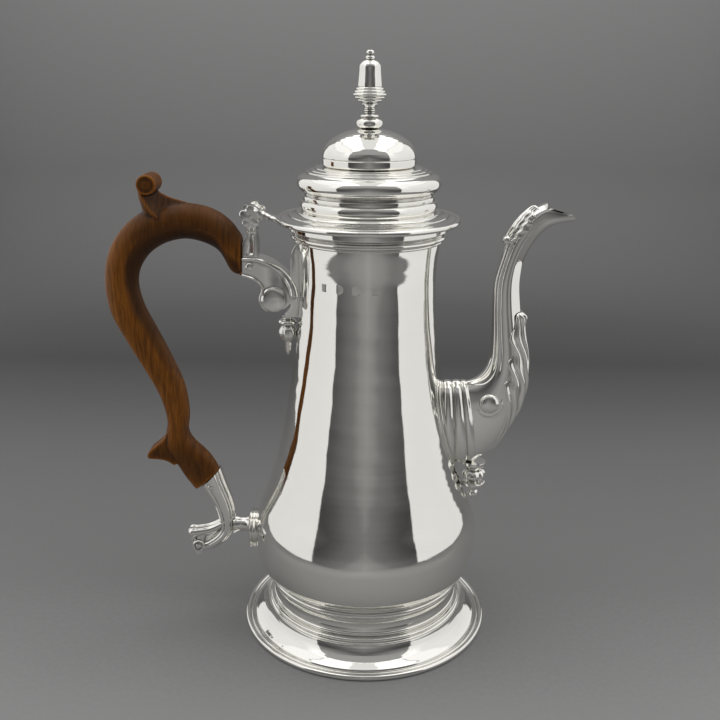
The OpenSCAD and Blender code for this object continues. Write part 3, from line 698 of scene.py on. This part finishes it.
def make_spout_shell():
    """Fluted shell under the swan neck: flutes slant down from its scalloped edge, under a curled tip."""
    def spread(u):
        fan = max(0.0, 1 - max(0.0, (u - 0.35) / 0.65) ** 4) ** 0.5
        scallops = smooth_step(0.25, 0.45, u) * math.cos(31 * u - 18.6)
        return 34 + 58 * fan * smooth_step(0.08, 0.4, u) + 6.5 * scallops

    def thickness(u, v):
        away = np.abs(v)
        flutes = (0.5 + 0.5 * np.cos(18.6 * away - 31 * u)) ** 0.8
        fluted = smooth_step(0.1, 0.34, away) * smooth_step(0.14, 0.34, u)
        edge = np.clip(1 - away**2, 0, 1) ** 0.35
        rails = (1 - smooth_step(0.14, 0.34, u)) * (0.5 + 0.5 * np.cos(away * math.pi * 4))
        curl = 1.2 * bump_at(u, 0.955, 0.045) * np.clip(1.2 - away * 1.2, 0, 1)
        end = np.clip(u / 0.07, 0, 1) ** 0.5 * np.clip((1 - u) / 0.03, 0, 1) ** 0.5
        plain = 0.8 * (1 - fluted) * smooth_step(0.2, 0.4, u)
        return end * edge * (0.3 + 1.45 * flutes * fluted + 0.8 * rails + plain) + curl * end

    shell = on_spout("fluted_shell", 1.75, 6.62, 0, spread, thickness, 132, 112)
    place(shell, "pot", CAST, ["spout_shell"], reach=1.0)


def make_spout_leaf():
    """Leaf cap on the back of the beak, with lobes along its edge, ending in a small ball curl."""
    def spread(u):
        return 26 + 52 * math.sin(math.pi * min(1, 0.12 + u * 0.95)) ** 0.7 + 5.5 * math.cos(u * 33)

    def thickness(u, v):
        ribs = 0.5 + 0.5 * np.cos(v * math.pi * 5 + 1.5 * u)
        edge = np.sqrt(np.clip(1 - v**2, 0, 1))
        midrib = 0.55 * bump_at(v, 0, 0.12)
        end = np.clip(u / 0.08, 0, 1) ** 0.5 * np.clip((1 - u) / 0.05, 0, 1) ** 0.5
        return end * (edge * (0.3 + 0.75 * ribs) + midrib)

    leaf = on_spout("leaf_cap", 9.75, 11.65, 180, spread, thickness, 64, 96)
    curl = double_ended("curl", [(1.9, 0.9), (1.85, 2.6), (1.5, 3.4), (0.9, 3.8), (0, 3.9)], (60.4, 186.4))
    stem = slab("stem", [(60.2, 184.6), (62.6, 187.2), (64.4, 190.4), (63, 191.2), (61, 188.4), (59.6, 186)],
                2.2)
    cap = join("leaf_cap", [leaf, round_edges(stem, 0.5), curl])
    place(cap, "pot", CAST, ["spout_leaf"], reach=1.0)


def make_spout_collar():
    """Moulded plate round the spout's root."""
    steps = 56
    rings = []
    for i in range(steps + 1):
        u = i / steps
        a = folded(RING_ANGLES)
        reeds = 1.3 * abs(math.cos(math.pi * 3.5 * u)) ** 0.7 * (1 - 0.6 * smooth_step(120, 175, a))
        rings.append(contour(spout_station(1.2 * u), RING_ANGLES,
                             0.12 + (1 - u) ** 0.8 * 1.3 + reeds * (1 - u**6)))
    plate = loft("plate", rings)
    spout_blank = loft("blank", [contour(spout_station(0.1 * i) - (np.array([3, 0, 3, 0, 0]) if i == 0 else 0),
                                         RING_ANGLES, 0.02) for i in range(19)])
    cut(plate, spout_blank, body_blank())
    place(plate, "pot", CAST, ["spout_collar"], reach=1.0)


def make_spout_buttons():
    """Domed button in a raised volute on each cheek of the spout."""
    for side in (-1, 1):
        at = np.array([55.9, side * 7.8, 111.6])
        boss = ball(f"boss_{side}", at + np.array([0, 0, 0.6]), 4.7, 2.4)
        turns = np.radians(np.linspace(205, 395, 30))
        rim = [at + (5.7 * math.cos(a), side * (0.05 + 0.3 * math.sin(a)), 5.7 * math.sin(a)) for a in turns]
        tail_end = [at + (6.6, side * -0.4, 4.6), at + (8.8, side * -0.7, 6.4)]
        line = curve_through([*rim[::3], *tail_end], 4)
        radii = 0.9 * np.sin(np.linspace(0.25, math.pi - 0.25, len(line))) ** 0.5
        volute = tube(f"rim_{side}", line, radii, 14)
        place(join(f"cheek_button_{side}", [boss, volute]), "pot", CAST, [], reach=1.0)


def make_drop(name, node, axis_x, top, ripple, lobes, low_edge, high_edge):
    """Turned drop under a fitting, below a height, with shallow lobes round its bulb."""
    profile, closed = cut_profile(node, axis_x)
    line = smooth_profile(profile[profile[:, 1] < top], closed, 0.25)
    drop = lathe(name, line, closed, 96, axis_x, lambda r, angle, z: r * (
        1 + ripple * np.cos(lobes * angle) * (z > low_edge) * (z < high_edge)))
    cut(drop, body_blank())
    place(drop, "pot", CAST, [node], reach=1.0)


def make_spout_drop():
    make_drop("spout_drop_turning", "spout_drop", 51.3, 81.0, 0.05, 8, 70, 79)


# ---------- handle ----------

HANDLE_END_X = -55.6
HANDLE_SECTIONS = [
    (HANDLE_END_X, 186.8, HANDLE_END_X, 169.4, 7.4), (-60.3, 193.4, -60.4, 171, 7.8),
    (-67.6, 198.4, -66.2, 180.6, 8), (-77.4, 200.8, -77.6, 185.1, 8), (-87.6, 200.2, -87.4, 183.9, 8),
    (-98.6, 196.9, -94.6, 180, 8), (-108.2, 189.4, -99, 175.2, 8), (-114.8, 178.4, -101.6, 169.6, 8),
    (-117.2, 165, -102, 163.2, 7.8), (-115.3, 151.4, -100, 154.8, 7.6), (-109, 138.2, -95.2, 144, 7.3),
    (-102.2, 125.6, -89.4, 131.2, 7), (-95.8, 112.6, -84, 117.2, 6.8), (-92.9, 101, -82.4, 104, 6.7),
    (-93.8, 93.4, -83.2, 94.8, 6.6), (-94.6, 86.6, -80.6, 89.4, 6.5), (-90.2, 79.4, -74.6, 83.4, 6.3),
    (-86, 71.8, -71.2, 78.4, 6.1), (-81.2, 65, -69.8, 75.2, 6)]
HANDLE_LINE = curve_through(HANDLE_SECTIONS, 6)
LOW_END = np.array([-73.8, 71.2])
TENON_Z = 173.2


def carve_grip(angles, i):
    """Carving of the grip: a hard edge along each side that fades out down the back, and flatter faces."""
    a = folded(angles)
    height = (HANDLE_LINE[i][1] + HANDLE_LINE[i][3]) / 2
    carved = smooth_step(132, 158, height)
    inner_face = -1.0 * np.sin(np.clip(a / 84, 0, 1) * math.pi)
    outer_face = -0.55 * np.sin(np.clip((180 - a) / 92, 0, 1) * math.pi)
    soft = -0.35 * (np.sin(np.clip(a / 90, 0, 1) * math.pi) + np.sin(np.clip((180 - a) / 90, 0, 1) * math.pi))
    return carved * (inner_face + outer_face) + (1 - carved) * soft


THUMB_EYE = (-95, 209.2)


def thumb_scroll():
    """Leaf that leaves the top of the grip, hollowed on top, and rolls over on itself for the thumb.
    Each station is its crest, the edge along its side, its underside, and its half width."""
    stations = [(-71.2, 198.6, -72.4, 191.2, -73, 187, 6.9), (-79.7, 201.6, -81, 192.2, -82, 187, 7.1),
                (-85.3, 203.2, -87.4, 193.7, -89, 188, 7.2), (-89.2, 205, -92.8, 197.1, -97, 193, 7.2),
                (-91.3, 206.4, -96.3, 202.2, -99.2, 200, 7.2), (-92.9, 207.8, -97.8, 206, -99.8, 205.5, 7.1),
                (-94.4, 210, -98, 209, -98.8, 209, 6.9)]
    rings = []
    for crest_x, crest_z, edge_x, edge_z, under_x, under_z, half in curve_through(stations, 6):
        crest, edge = np.array([crest_x, crest_z]), np.array([edge_x, edge_z])
        under = np.array([under_x, under_z])
        hollow = (crest + edge) / 2 + (under - crest) * 0.07
        side = [(crest, 0), (crest + (hollow - crest) * 0.5, half * 0.3), (hollow, half * 0.6), (edge, half),
                ((edge + under) / 2 + (edge - crest) * 0.04, half * 0.72), (under, 0)]
        near = [np.array([p[0], -y, p[1]]) for p, y in side]
        far = [np.array([p[0], y, p[1]]) for p, y in side[1:-1]][::-1]
        rings.append(np.array(near + far))
    return loft("thumb", rings)


def make_handle():
    angles = np.linspace(0, 360, 64, endpoint=False)
    rings = [contour(s, angles, carve_grip(angles, i), 0.76) for i, s in enumerate(HANDLE_LINE)]
    grip = loft("grip", rings)
    tail = curve_through([(-92.6, 95.4), (-94.4, 91.6), (-97.6, 88.5), (-101.3, 85.4), (-102.6, 83), (-101.8, 81.4),
                          (-97.6, 81.1), (-93.8, 80.4), (-90.4, 78.2)], 5)
    tail_piece = slab("tail", [*tail, (-86, 80), (-86, 92)], 4.4)
    roll_eye = double_ended("eye", [(4.3, 0.4), (4.3, 6.9), (4.0, 7.15), (3.5, 7.2), (3.1, 6.9),
                                                      (2.6, 6.8), (2.2, 7.1), (0.9, 7.3), (0, 7.3)], THUMB_EYE)
    handle = fuse("scroll_handle", [grip, thumb_scroll(), tail_piece, roll_eye], 0.42, 5)
    for half_w, half_h, centre_x, centre_z, length, turn in (
            (4.3, 3.2, HANDLE_END_X + 4.6, TENON_Z, 10.8, 0),
            (3.3, 3.3, LOW_END[0] + 1.5, LOW_END[1] - 3.2, 11, -65)):
        tenon = bar("tenon", np.array([centre_x, centre_z]), turn, length, half_h, half_w)
        round_edges(tenon, 0.3, 2)
        combine(handle, [tenon], "UNION")
    shade_wood(handle)
    place(handle, "pot", WOOD, ["handle"], reach=2.2, rounds=4, crease=60)


def shade_wood(handle):
    """Dark mask on the wood: painted shade with handling stain on the inside of the grip, handling stain over
    the shoulder at the top end, and a darker strip at the lower end.
    """
    points = vertex_array(handle.data)
    middles = (HANDLE_LINE[:, :2] + HANDLE_LINE[:, 2:4]) / 2
    nearest = np.argmin(((points[:, None, [0, 2]] - middles[None]) ** 2).sum(2), axis=1)
    inward = (HANDLE_LINE[:, 2:4] - HANDLE_LINE[:, :2])[nearest] / 2
    depth = ((points[:, [0, 2]] - middles[nearest]) * inward).sum(1) / (inward**2).sum(1)
    height = points[:, 2]
    start = 0.38 - 0.38 * smooth_step(160, 180, height)
    # Painted shade, with handling stain, on the inner side of the grip, spreading over its inner half at the top
    inner_shade_and_stain = smooth_step(0, 0.3, depth - start) * smooth_step(105, 150, height)
    shoulder = 0.72 * smooth_step(172, 190, height) * smooth_step(-114, -98, points[:, 0])
    knee = 0.6 * (1 - smooth_step(82, 98, height)) * smooth_step(66, 76, height)
    # Stored for the wood material: painted shade and handling stain together
    layer = handle.data.attributes.new("patina_and_shade", "FLOAT", "POINT")
    layer.data.foreach_set("value", np.clip(0.95 * inner_shade_and_stain + shoulder + knee, 0, 0.97).astype(np.float32))


def make_pins():
    """Silver pins through the sockets, with low domed heads."""
    for name, at, radius, cheek in (("upper_socket_pin", (-51.9, TENON_Z + 0.9), 1.29, 5.5),
                                    ("lower_socket_pin", (-73.2, 67.4), 1.09, 4.85)):
        dome = [(1.45 * radius * math.cos(a), cheek + 0.25 + 0.85 * math.sin(a)) for a in np.linspace(0, 1.4, 7)]
        head = [(radius, cheek), (1.45 * radius, cheek), *dome, (0, cheek + 1.1)]
        pin = double_ended(name + "_rod", [(radius, 0.2)] + head, at, 40)
        place(pin, "pot", HINGE, [name], reach=0.8)


# ---------- sockets ----------


def make_upper_socket():
    """Cast socket: flat cheeks between raised edges, ending in a rolled volute against the body."""
    eye = np.array([-41.6, 159.3])
    top_edge = curve_through([(-55.4, 178), (-51, 178), (-47.6, 177.8), (-42.5, 176), (-38.2, 173.2),
                              (-34.7, 170), (-31.8, 165.6), (-30.6, 161)], 6)
    under = [(-31, 158.6), (-34.4, 157.4), (-37, 155)]
    roll = [tuple(p) for p in arc(eye, 5.7, 285, 150, 16)]
    throat = [(-46.8, 164.4), (-48.2, 166.6), (-51, 168.3), (-55.4, 169.5)]
    cheek = slab("cheek", [tuple(p) for p in top_edge] + under + roll + throat, 5.5)
    radii = np.linspace(0.6, 1.9, len(top_edge))
    inward = [unit(np.array([along[1], -along[0]])) for along in np.gradient(top_edge, axis=0)]
    spine = top_edge + np.array(inward) * radii[:, None]
    edges = [tube("edge", [(x, side * (6.45 - r), z) for (x, z), r in zip(spine, radii)], radii, 16)
             for side in (-1, 1)]
    lower_edge = curve_through([(-55.2, 170.1), (-51.2, 168.9), (-48.6, 167.3), (-46.6, 164.6), (-46.9, 161.6)], 5)
    edges += [tube("edge", [(x, y, z) for x, z in lower_edge], [0.5] * len(lower_edge), 12)
              for y in (-5.7, 5.7)]
    volute = double_ended("volute", [(5.8, 3), (5.8, 5.0), (5.6, 5.7), (5.1, 6.1), (4.2, 6.45),
                                                       (3, 6.7), (1.5, 6.85), (0, 6.9)], tuple(eye))
    lips = [tube("lip", [(x, y, z) for x, z in arc(eye, 6.1, 250, 125, 14)],
                 0.15 + 0.42 * np.sin(np.linspace(0.1, math.pi - 0.1, 15)), 12) for y in (-5.2, 5.2)]
    socket = fuse("scroll_socket", [cheek, volute, *edges, *lips], 0.3, 3)
    move_vertices(socket, waisted)
    tenon = slab("tenon", [(-56.6, 169.99), (-45.3, 169.99), (-45.3, 176.41), (-56.6, 176.41)], 4.31)
    hole = rod("hole", (-51.9, TENON_Z + 0.9), 1.3, 9, 40)
    cut(socket, tenon, hole, body_blank())
    place(socket, "pot", CAST, ["upper_socket"], reach=1.0)


def waisted(points):
    """Narrows the socket towards its middle and flares it again where it meets the body."""
    x = points[:, 0]
    width = 1 - 0.27 * bump_at(x, -38.2, 4.2) * smooth_step(160, 170, points[:, 2])
    points[:, 1] *= width
    return points


def make_backplate():
    outline = [tuple(p) for p in curve_through([(-33.2, 181.2), (-33.6, 178), (-33.8, 170), (-33.8, 160),
                                                (-34.8, 155), (-36.7, 152.6), (-36.7, 150.7)], 5)]
    plate = slab("shield", [(-26, 150.7), (-26, 183.6), (-31.8, 183.6)] + outline, 6.1)
    move_vertices(plate, lambda p: np.column_stack([p[:, 0], p[:, 1] * (0.52 + 0.48 * smooth_step(
        150, 166, p[:, 2])) * (1 - 0.35 * smooth_step(178, 184, p[:, 2])), p[:, 2]]))
    round_edges(plate, 0.7, 4)
    cut(plate, body_blank())
    place(plate, "pot", CAST, ["upper_socket_backplate"], reach=1.0)


def make_upper_drop():
    make_drop("socket_drop_turning", "upper_socket_drop", -36, math.inf, 0.06, 7, 139, 146)


LOW_SECTIONS = [
    (-69, 76.8, -78.6, 66, 5.9), (-66.6, 68.4, -75.6, 61.4, 5.5), (-64.2, 61.2, -72.9, 56.4, 5.2),
    (-62.9, 55.6, -71.3, 51.6, 5), (-62.4, 50.6, -70.4, 47.6, 4.9)]
SCROLL_SECTIONS = [
    (-62.4, 50.6, -70.4, 47.6, 4.9), (-63.4, 44.8, -70.2, 45, 4.7), (-65.8, 39.6, -71.4, 42.8, 4.6),
    (-69.6, 35.8, -73.6, 40.4, 4.5), (-74, 33.4, -76.6, 38.2, 4.5), (-78.8, 32.4, -79.6, 37.2, 4.5)]


def low_relief(angles):
    """A broad rib down the inner edge of each cheek of the lower socket, and fine reeds down the outer."""
    a = folded(angles)
    reeds = sum(bump_at(a, middle, 5) for middle in (120, 140, 158))
    return -0.6 * (bump_at(a, 14, 4.5) + bump_at(a, 72, 5)) - 0.45 * reeds


def make_lower_socket():
    angles = np.linspace(0, 360, 96, endpoint=False)
    line = curve_through(LOW_SECTIONS, 10)
    socket = loft("lower_scroll_socket", [contour(s, angles, low_relief(angles), 0.85) for s in line])
    beyond = slab("beyond", [tuple(LOW_END + d) for d in ((-14, -14), (14, 14), (0, 28), (-28, 0))], 15)
    tenon = bar("tenon", LOW_END + 0.65 * direction(-65), -65, 17.3, 3.31, 3.31)
    hole = rod("hole", (-73.2, 67.4), 1.1, 9, 40)
    cut(socket, beyond, tenon, hole)
    place(socket, "pot", CAST, ["lower_socket"], reach=1.0)


def make_lower_scroll():
    angles = np.linspace(0, 360, 96, endpoint=False)
    line = curve_through(SCROLL_SECTIONS, 8)
    rings = [contour(s, angles, low_relief(angles) * (1 - 0.6 * i / len(line)), 0.85)
             for i, s in enumerate(line)]
    volute = double_ended("volute", [(3.1, 2), (3.1, 3.9), (2.7, 4.4), (2.2, 4.3), (1.9, 3.9),
                                                       (1.5, 4.0), (0.7, 4.45), (0, 4.48)], (-80.6, 35.6))
    bead = ball("bead", (-84, 0, 41.2), 2.4, 2.4)
    leaf = slab("leaf", [tuple(p) for p in curve_through([(-79.8, 34), (-82.9, 33.4), (-83, 31), (-82.4, 29.5),
                                                         (-81.2, 29), (-79.6, 30.6), (-78, 32.8)], 4)], 1.55)
    stem = slab("stem", [(-81.4, 37.2), (-84.3, 40), (-84.9, 38), (-83.4, 35.6)], 1.5)
    horn = curve_through([(-66, 49.5), (-70.4, 45.8), (-75.4, 43.4), (-80.4, 42.4), (-83, 42)], 5)
    horns = [tube("horn", [(x, y, z) for x, z in horn], np.linspace(1.7, 2.1, len(horn)), 18)
             for y in (-1.9, 1.9)]
    knobs = [ball("knob", (-83.5, y, 42), 2.3, 2.2) for y in (-2, 2)]
    scroll = fuse("lower_volute", [loft("stalk", rings), volute, bead, leaf, stem, *horns, *knobs], 0.24, 2)
    place(scroll, "pot", CAST, ["lower_socket_scroll"], reach=1.0)


def make_lower_collar():
    """Reeded round plate on the belly and the waisted spool between it and the lower socket."""
    plate = turned_along("plate", [(0, 46), (9.6, 46), (9.6, 51.6), (9.3, 52.2), (8.9, 52.4), (9.2, 52.8),
                                     (9.55, 53.3), (9.2, 53.8), (8.8, 54), (9.3, 54.4), (9.5, 54.9), (9, 55.4),
                                     (8.2, 55.8), (6.6, 55.95), (0, 55.98)], 44)
    waist = [(4.9 - 1.35 * math.sin(math.pi * t) ** 0.8, 55 + 8.4 * t) for t in np.linspace(0, 1, 20)]
    spool = turned_along("spool", [(0, 50), *waist, (0, 63.5)], 46)
    collar = combine(plate, [spool], "UNION")
    angles = np.linspace(0, 360, 64, endpoint=False)
    blanks = [loft("blank", [contour(s, angles, 0.02, 0.85) for s in curve_through(sections, 6)])
              for sections in (LOW_SECTIONS, SCROLL_SECTIONS)]
    cut(collar, body_blank(), *blanks)
    place(collar, "pot", CAST, ["lower_socket_collar"], reach=1.0)


# ---------- hinge ----------

HINGE_X, HINGE_Z = -50.5, 196.5
PIN_R, KNUCKLE_R = 1.3, 3.6
LID_KNUCKLE, FIXED_START, HINGE_HALF, PLATE_T = 3.4, 3.7, 7.4, 1.2


def make_hinge_post():
    """Faceted obelisk with a hollow running up each face, a neck ring, and a saddle under the knuckles."""
    levels = [(178.02, -55.2, -48.3, 5.1, 0.0), (178.9, -55.2, -48.3, 5.1, 0.2), (180, -55, -48.3, 5.0, 1.3),
              (184.6, -54.6, -48.2, 4.8, 1.3), (187.2, -53.2, -48.7, 4.3, 1.0), (188.3, -52.3, -49, 4.2, 0.2),
              (188.6, -52.7, -48.7, 4.9, 0.0), (189.5, -52.7, -48.7, 5.1, 0.0), (189.8, -52.3, -48.9, 5.0, 0.0),
              (191.4, -52.6, -48.4, 7.2, 0.0), (193.4, -53, -48, 7.3, 0.0), (195.4, -53, -48, 7.3, 0.0)]
    rings = []
    for z, left, right, half, hollow in levels:
        middle, quarter = (left + right) / 2, (right - left) / 4
        row = [(left, -half), (middle - quarter * 0.9, -half), (middle, -half + hollow),
               (middle + quarter * 0.9, -half), (right, -half), (right - hollow * 0.5, 0), (right, half),
               (middle + quarter * 0.9, half), (middle, half - hollow), (middle - quarter * 0.9, half),
               (left, half), (left + hollow * 0.5, 0)]
        rings.append(np.array([(x, y, z) for x, y in row]))
    post = round_edges(loft("hinge_obelisk", rings), 0.22, 2, 25)
    bore = rod("bore", (HINGE_X, HINGE_Z), KNUCKLE_R + 0.02, 9)
    room = rod("room", (HINGE_X, HINGE_Z), KNUCKLE_R + 0.35, FIXED_START)
    heel = slab("heel_room", [(HINGE_X - 7.5, HINGE_Z - 6), (HINGE_X - 1.5, HINGE_Z - 6),
                              (HINGE_X - 1.5, HINGE_Z + 6), (HINGE_X - 7.5, HINGE_Z + 6)], FIXED_START)
    cut(post, bore, room, heel)
    place(post, "pot", HINGE, ["hinge_post"], reach=0.8)


def knuckle_profile(start, end, bore):
    """Half section of a knuckle: a tube with a small bead at each end."""
    r = KNUCKLE_R
    return [(bore, start), (r - 0.25, start), (r, start + 0.25), (r, start + 0.7), (r - 0.3, start + 0.95),
            (r - 0.12, start + 1.2), (r - 0.12, end - 1.2), (r - 0.3, end - 0.95), (r, end - 0.7),
            (r, end - 0.25), (r - 0.25, end), (bore, end)]


def make_hinge():
    at = (HINGE_X, HINGE_Z)
    fixed = [turned_across("knuckle", [(r, side * y) for r, y in knuckle_profile(FIXED_START, HINGE_HALF,
                                                                                  PIN_R + 0.01)], at, 72)
             for side in (-1, 1)]
    place(join("fixed_knuckles", fixed), "pot", HINGE, ["hinge_knuckles"], reach=0.8)
    pin = double_ended("hinge_rod", [(PIN_R, 0.5), (PIN_R, HINGE_HALF), (0, HINGE_HALF)], at, 48)
    place(pin, "pot", HINGE, ["hinge_pin"], reach=0.8)
    plates = []
    for side in (-1, 1):
        start = HINGE_HALF + 0.01
        for height, y in ((1.0, start), (1.0, start + PLATE_T * 0.7), (0.9, start + PLATE_T * 0.95)):
            plates.append([(at[0] + scallop(a) * height * math.cos(a), side * y, at[1] + scallop(a) * height
                            * math.sin(a)) for a in np.linspace(0, 2 * math.pi, 90, endpoint=False)])
    pairs = [loft("scallop", [np.array(p) for p in plates[k:k + 3]]) for k in (0, 3)]
    bosses = [ball("boss", (at[0], side * (HINGE_HALF + 0.62), at[1]), 1.9, 0.6) for side in (-1, 1)]
    place(join("scalloped_plates", pairs + bosses), "pot", HINGE, ["hinge_end_plates"], reach=0.8)
    knuckle = turned_across("lid_tube", knuckle_profile(-LID_KNUCKLE, LID_KNUCKLE, PIN_R + 0.05), at, 72)
    turn = math.radians(-105)
    corners = [(-1.56, -0.5), (-1.56, -4.85), (-3.2, -4.05), (-3.55, -0.4)]
    heel = slab("heel", [(at[0] + x * math.cos(turn) - z * math.sin(turn),
                          at[1] + x * math.sin(turn) + z * math.cos(turn)) for x, z in corners], LID_KNUCKLE - 0.1)
    combine(knuckle, [round_edges(heel, 0.15, 2)], "UNION")
    place(knuckle, "lid", HINGE, ["lid_knuckle"], reach=0.8)


def scallop(angle):
    """Radius of the five-lobed end plate at an angle."""
    lobe = (angle - math.radians(18) + math.pi / 5) % (2 * math.pi / 5) - math.pi / 5
    reach = 3.2 * math.cos(lobe) + math.sqrt(max(1.72**2 - (3.2 * math.sin(lobe)) ** 2, 0))
    return max(reach, 3.4)


def make_flange():
    """Stepped flange of the lid with the tongue that carries it to the hinge."""
    profile, closed = cut_profile("lid_flange")
    flange = lathe("lid_flange_turning", smooth_profile(profile, closed, 0.5), closed, 224)
    z = low("lid_flange")[2]
    rows = [(-36.4, 8.6, 0.3, 2.1), (-38.2, 7.6, 0.3, 2.2), (-40.2, 4.6, 0.3, 2.3), (-42.2, 3.1, 0.35, 2.6),
            (-44.2, 2.7, 0.6, 3.6), (-45.6, 3.2, 0.9, 4.5), (-47.4, 3.3, 1.2, 4.8)]
    rings = []
    for x, half, bottom, top in curve_through(rows, 5):
        row = [(half * math.cos(a), math.sin(a)) for a in np.radians(np.arange(0, 181, 12))]
        crest = z + bottom + (top - bottom) * 0.45
        rings.append(np.array([(x, -half, z + bottom), (x, half, z + bottom)]
                              + [(x, w, crest + (z + top - crest) * h) for w, h in row]))
    tongue = loft("tongue", rings)
    combine(flange, [tongue], "UNION")
    room = rod("room", (HINGE_X, HINGE_Z), KNUCKLE_R + 0.02, 9)
    cut(flange, room)
    place(flange, "lid", POLISHED, ["lid_flange"])


# ---------- the body's own details ----------


def punch_cutters():
    """Four shallow worn marks in a row, each a plain geometric shape."""
    marks = []
    for x, sides, wide in ((-19, 4, 2.1), (-12, 24, 2.0), (-5, 6, 2.1), (3.3, 4, 1.9)):
        outline = [(wide * math.cos(a), wide * 1.1 * math.sin(a))
                   for a in np.linspace(math.pi / sides, 2 * math.pi + math.pi / sides, sides, endpoint=False)]
        radius = 30.45
        front = -math.sqrt(radius**2 - x * x)
        marks.append(prism("mark", [(x + u, 169.4 + w) for u, w in outline], front - 3, front + 0.42))
    return join("marks", marks)


def strainer_cutter():
    """Rosette of holes behind the spout, thirteen in five rows."""
    holes = []
    for row in range(-2, 3):
        for column in (-1, 0, 1):
            y = (column + (abs(row) % 2) / 2) * 4.5
            if abs(y) < 6:
                ring = [np.array([(x, y + 1.5 * math.cos(a), ROOT_Z + row * 4.6 + 1.5 * math.sin(a))
                                  for a in np.linspace(0, 2 * math.pi, 24, endpoint=False)]) for x in (30, 50)]
                holes.append(loft("hole", ring))
    return join("holes", holes)


def make_body():
    profile, closed = cut_profile("body_shell")
    line = smooth_profile(profile, closed, 1.4)
    body = lathe("raised_body", line, closed, 224, reshape=hand_raised(0.045))
    cut(body, strainer_cutter(), punch_cutters())
    place(body, "pot", POLISHED, ["body_shell"])


# ---------- studio ----------


def aim(obj, matrix_columns, location):
    columns = Matrix([list(c) for c in matrix_columns]).transposed()
    obj.matrix_world = Matrix.Translation(Vector(location)) @ columns.to_4x4()


def soft_panel(name, at, facing, size, radiance):
    """Rectangular light whose face has the given brightness, looking along facing."""
    data = bpy.data.lights.new(name, "AREA")
    data.shape, data.size, data.size_y = "RECTANGLE", size[0], size[1]
    data.energy = radiance * math.pi * size[0] * size[1]
    data.color = (1.0, 0.99, 0.975)
    obj = linked(name, data)
    back = -Vector(facing).normalized()
    upright = Vector((0, 0, 1)) if abs(back.z) < 0.9 else Vector((0, 1, 0))
    side = upright.cross(back).normalized()
    aim(obj, (side, back.cross(side), back), at)
    obj.visible_camera = False


def make_lights():
    """A light tent: a tall white panel on each side, with softer light from above and from the front."""
    for side in (-1, 1):
        soft_panel(f"side_panel_{side}", (side * 0.44, 0.09, 0.43), (-side, 0, 0), (0.92, 0.85), 0.70)
        soft_panel(f"roof_panel_{side}", (side * 0.27, 0.15, 0.88), (-side * 0.3, 0, -1), (0.3, 1.0), 1.05)
    soft_panel("roof_middle", (0, 0.15, 0.9), (0, 0, -1), (0.26, 1.0), 0.45)
    soft_panel("front_wash", (0, -0.3, 0.7), (0, -1, -0.4), (1.3, 0.3), 1.7)
    world = bpy.data.worlds.new("studio")
    bpy.context.scene.world = world
    world.use_nodes = True
    background = world.node_tree.nodes["Background"]
    background.inputs["Color"].default_value = (0.33, 0.33, 0.328, 1)
    background.inputs["Strength"].default_value = 1.0


def make_floor():
    """Pale floor that curves up far away into a low wall all round."""
    flat, rise, top, segments = 610.0, 150.0, 760.0, 96
    profile = [(r, 0.0) for r in (150, 300, 450, flat)]
    profile += [(flat + rise * math.sin(a), rise * (1 - math.cos(a))) for a in np.linspace(0.15, 1.5, 10)]
    profile += [(flat + rise + 10, top)]
    points, faces = [(0, 0, 0)], []
    for i, (r, z) in enumerate(profile):
        for k in range(segments):
            a = 2 * math.pi * k / segments
            points.append((r * math.cos(a) * MM, r * math.sin(a) * MM, z * MM))
            b = 1 + i * segments + k
            c = 1 + i * segments + (k + 1) % segments
            faces.append((0, b, c) if i == 0 else (b - segments, b, c, c - segments))
    mesh = bpy.data.meshes.new("pale_floor")
    mesh.from_pydata(points, [], faces)
    mesh.shade_smooth()
    floor = linked("pale_floor", mesh)
    floor.data.materials.append(floor_material())


def make_camera():
    """Close view from a little above, turned and rolled slightly as the photographer held it."""
    pan, pitch, roll = math.radians(-0.45), math.radians(17.88), math.radians(-0.49)
    data = bpy.data.cameras.new("camera")
    data.sensor_width, data.lens = 36, 46.65
    data.clip_start, data.clip_end = 0.02, 20
    camera = linked("camera", data)
    forward = Vector((math.sin(pan) * math.cos(pitch), math.cos(pan) * math.cos(pitch), -math.sin(pitch)))
    right = Vector((math.cos(pan), -math.sin(pan), 0))
    up = right.cross(forward)
    across = math.cos(roll) * right - math.sin(roll) * up
    aim(camera, (across, math.sin(roll) * right + math.cos(roll) * up, -forward), (0, -0.406, 0.261))
    bpy.context.scene.camera = camera


for make in (make_turned_pieces, make_spout, make_spout_shell, make_spout_leaf, make_spout_collar,
             make_spout_buttons, make_spout_drop, make_handle, make_pins, make_upper_socket,
             make_backplate, make_upper_drop, make_lower_socket, make_lower_scroll, make_lower_collar,
             make_hinge_post, make_hinge, make_flange, make_floor, make_lights, make_camera):
    make()
bpy.context.scene.view_settings.view_transform = "Standard"
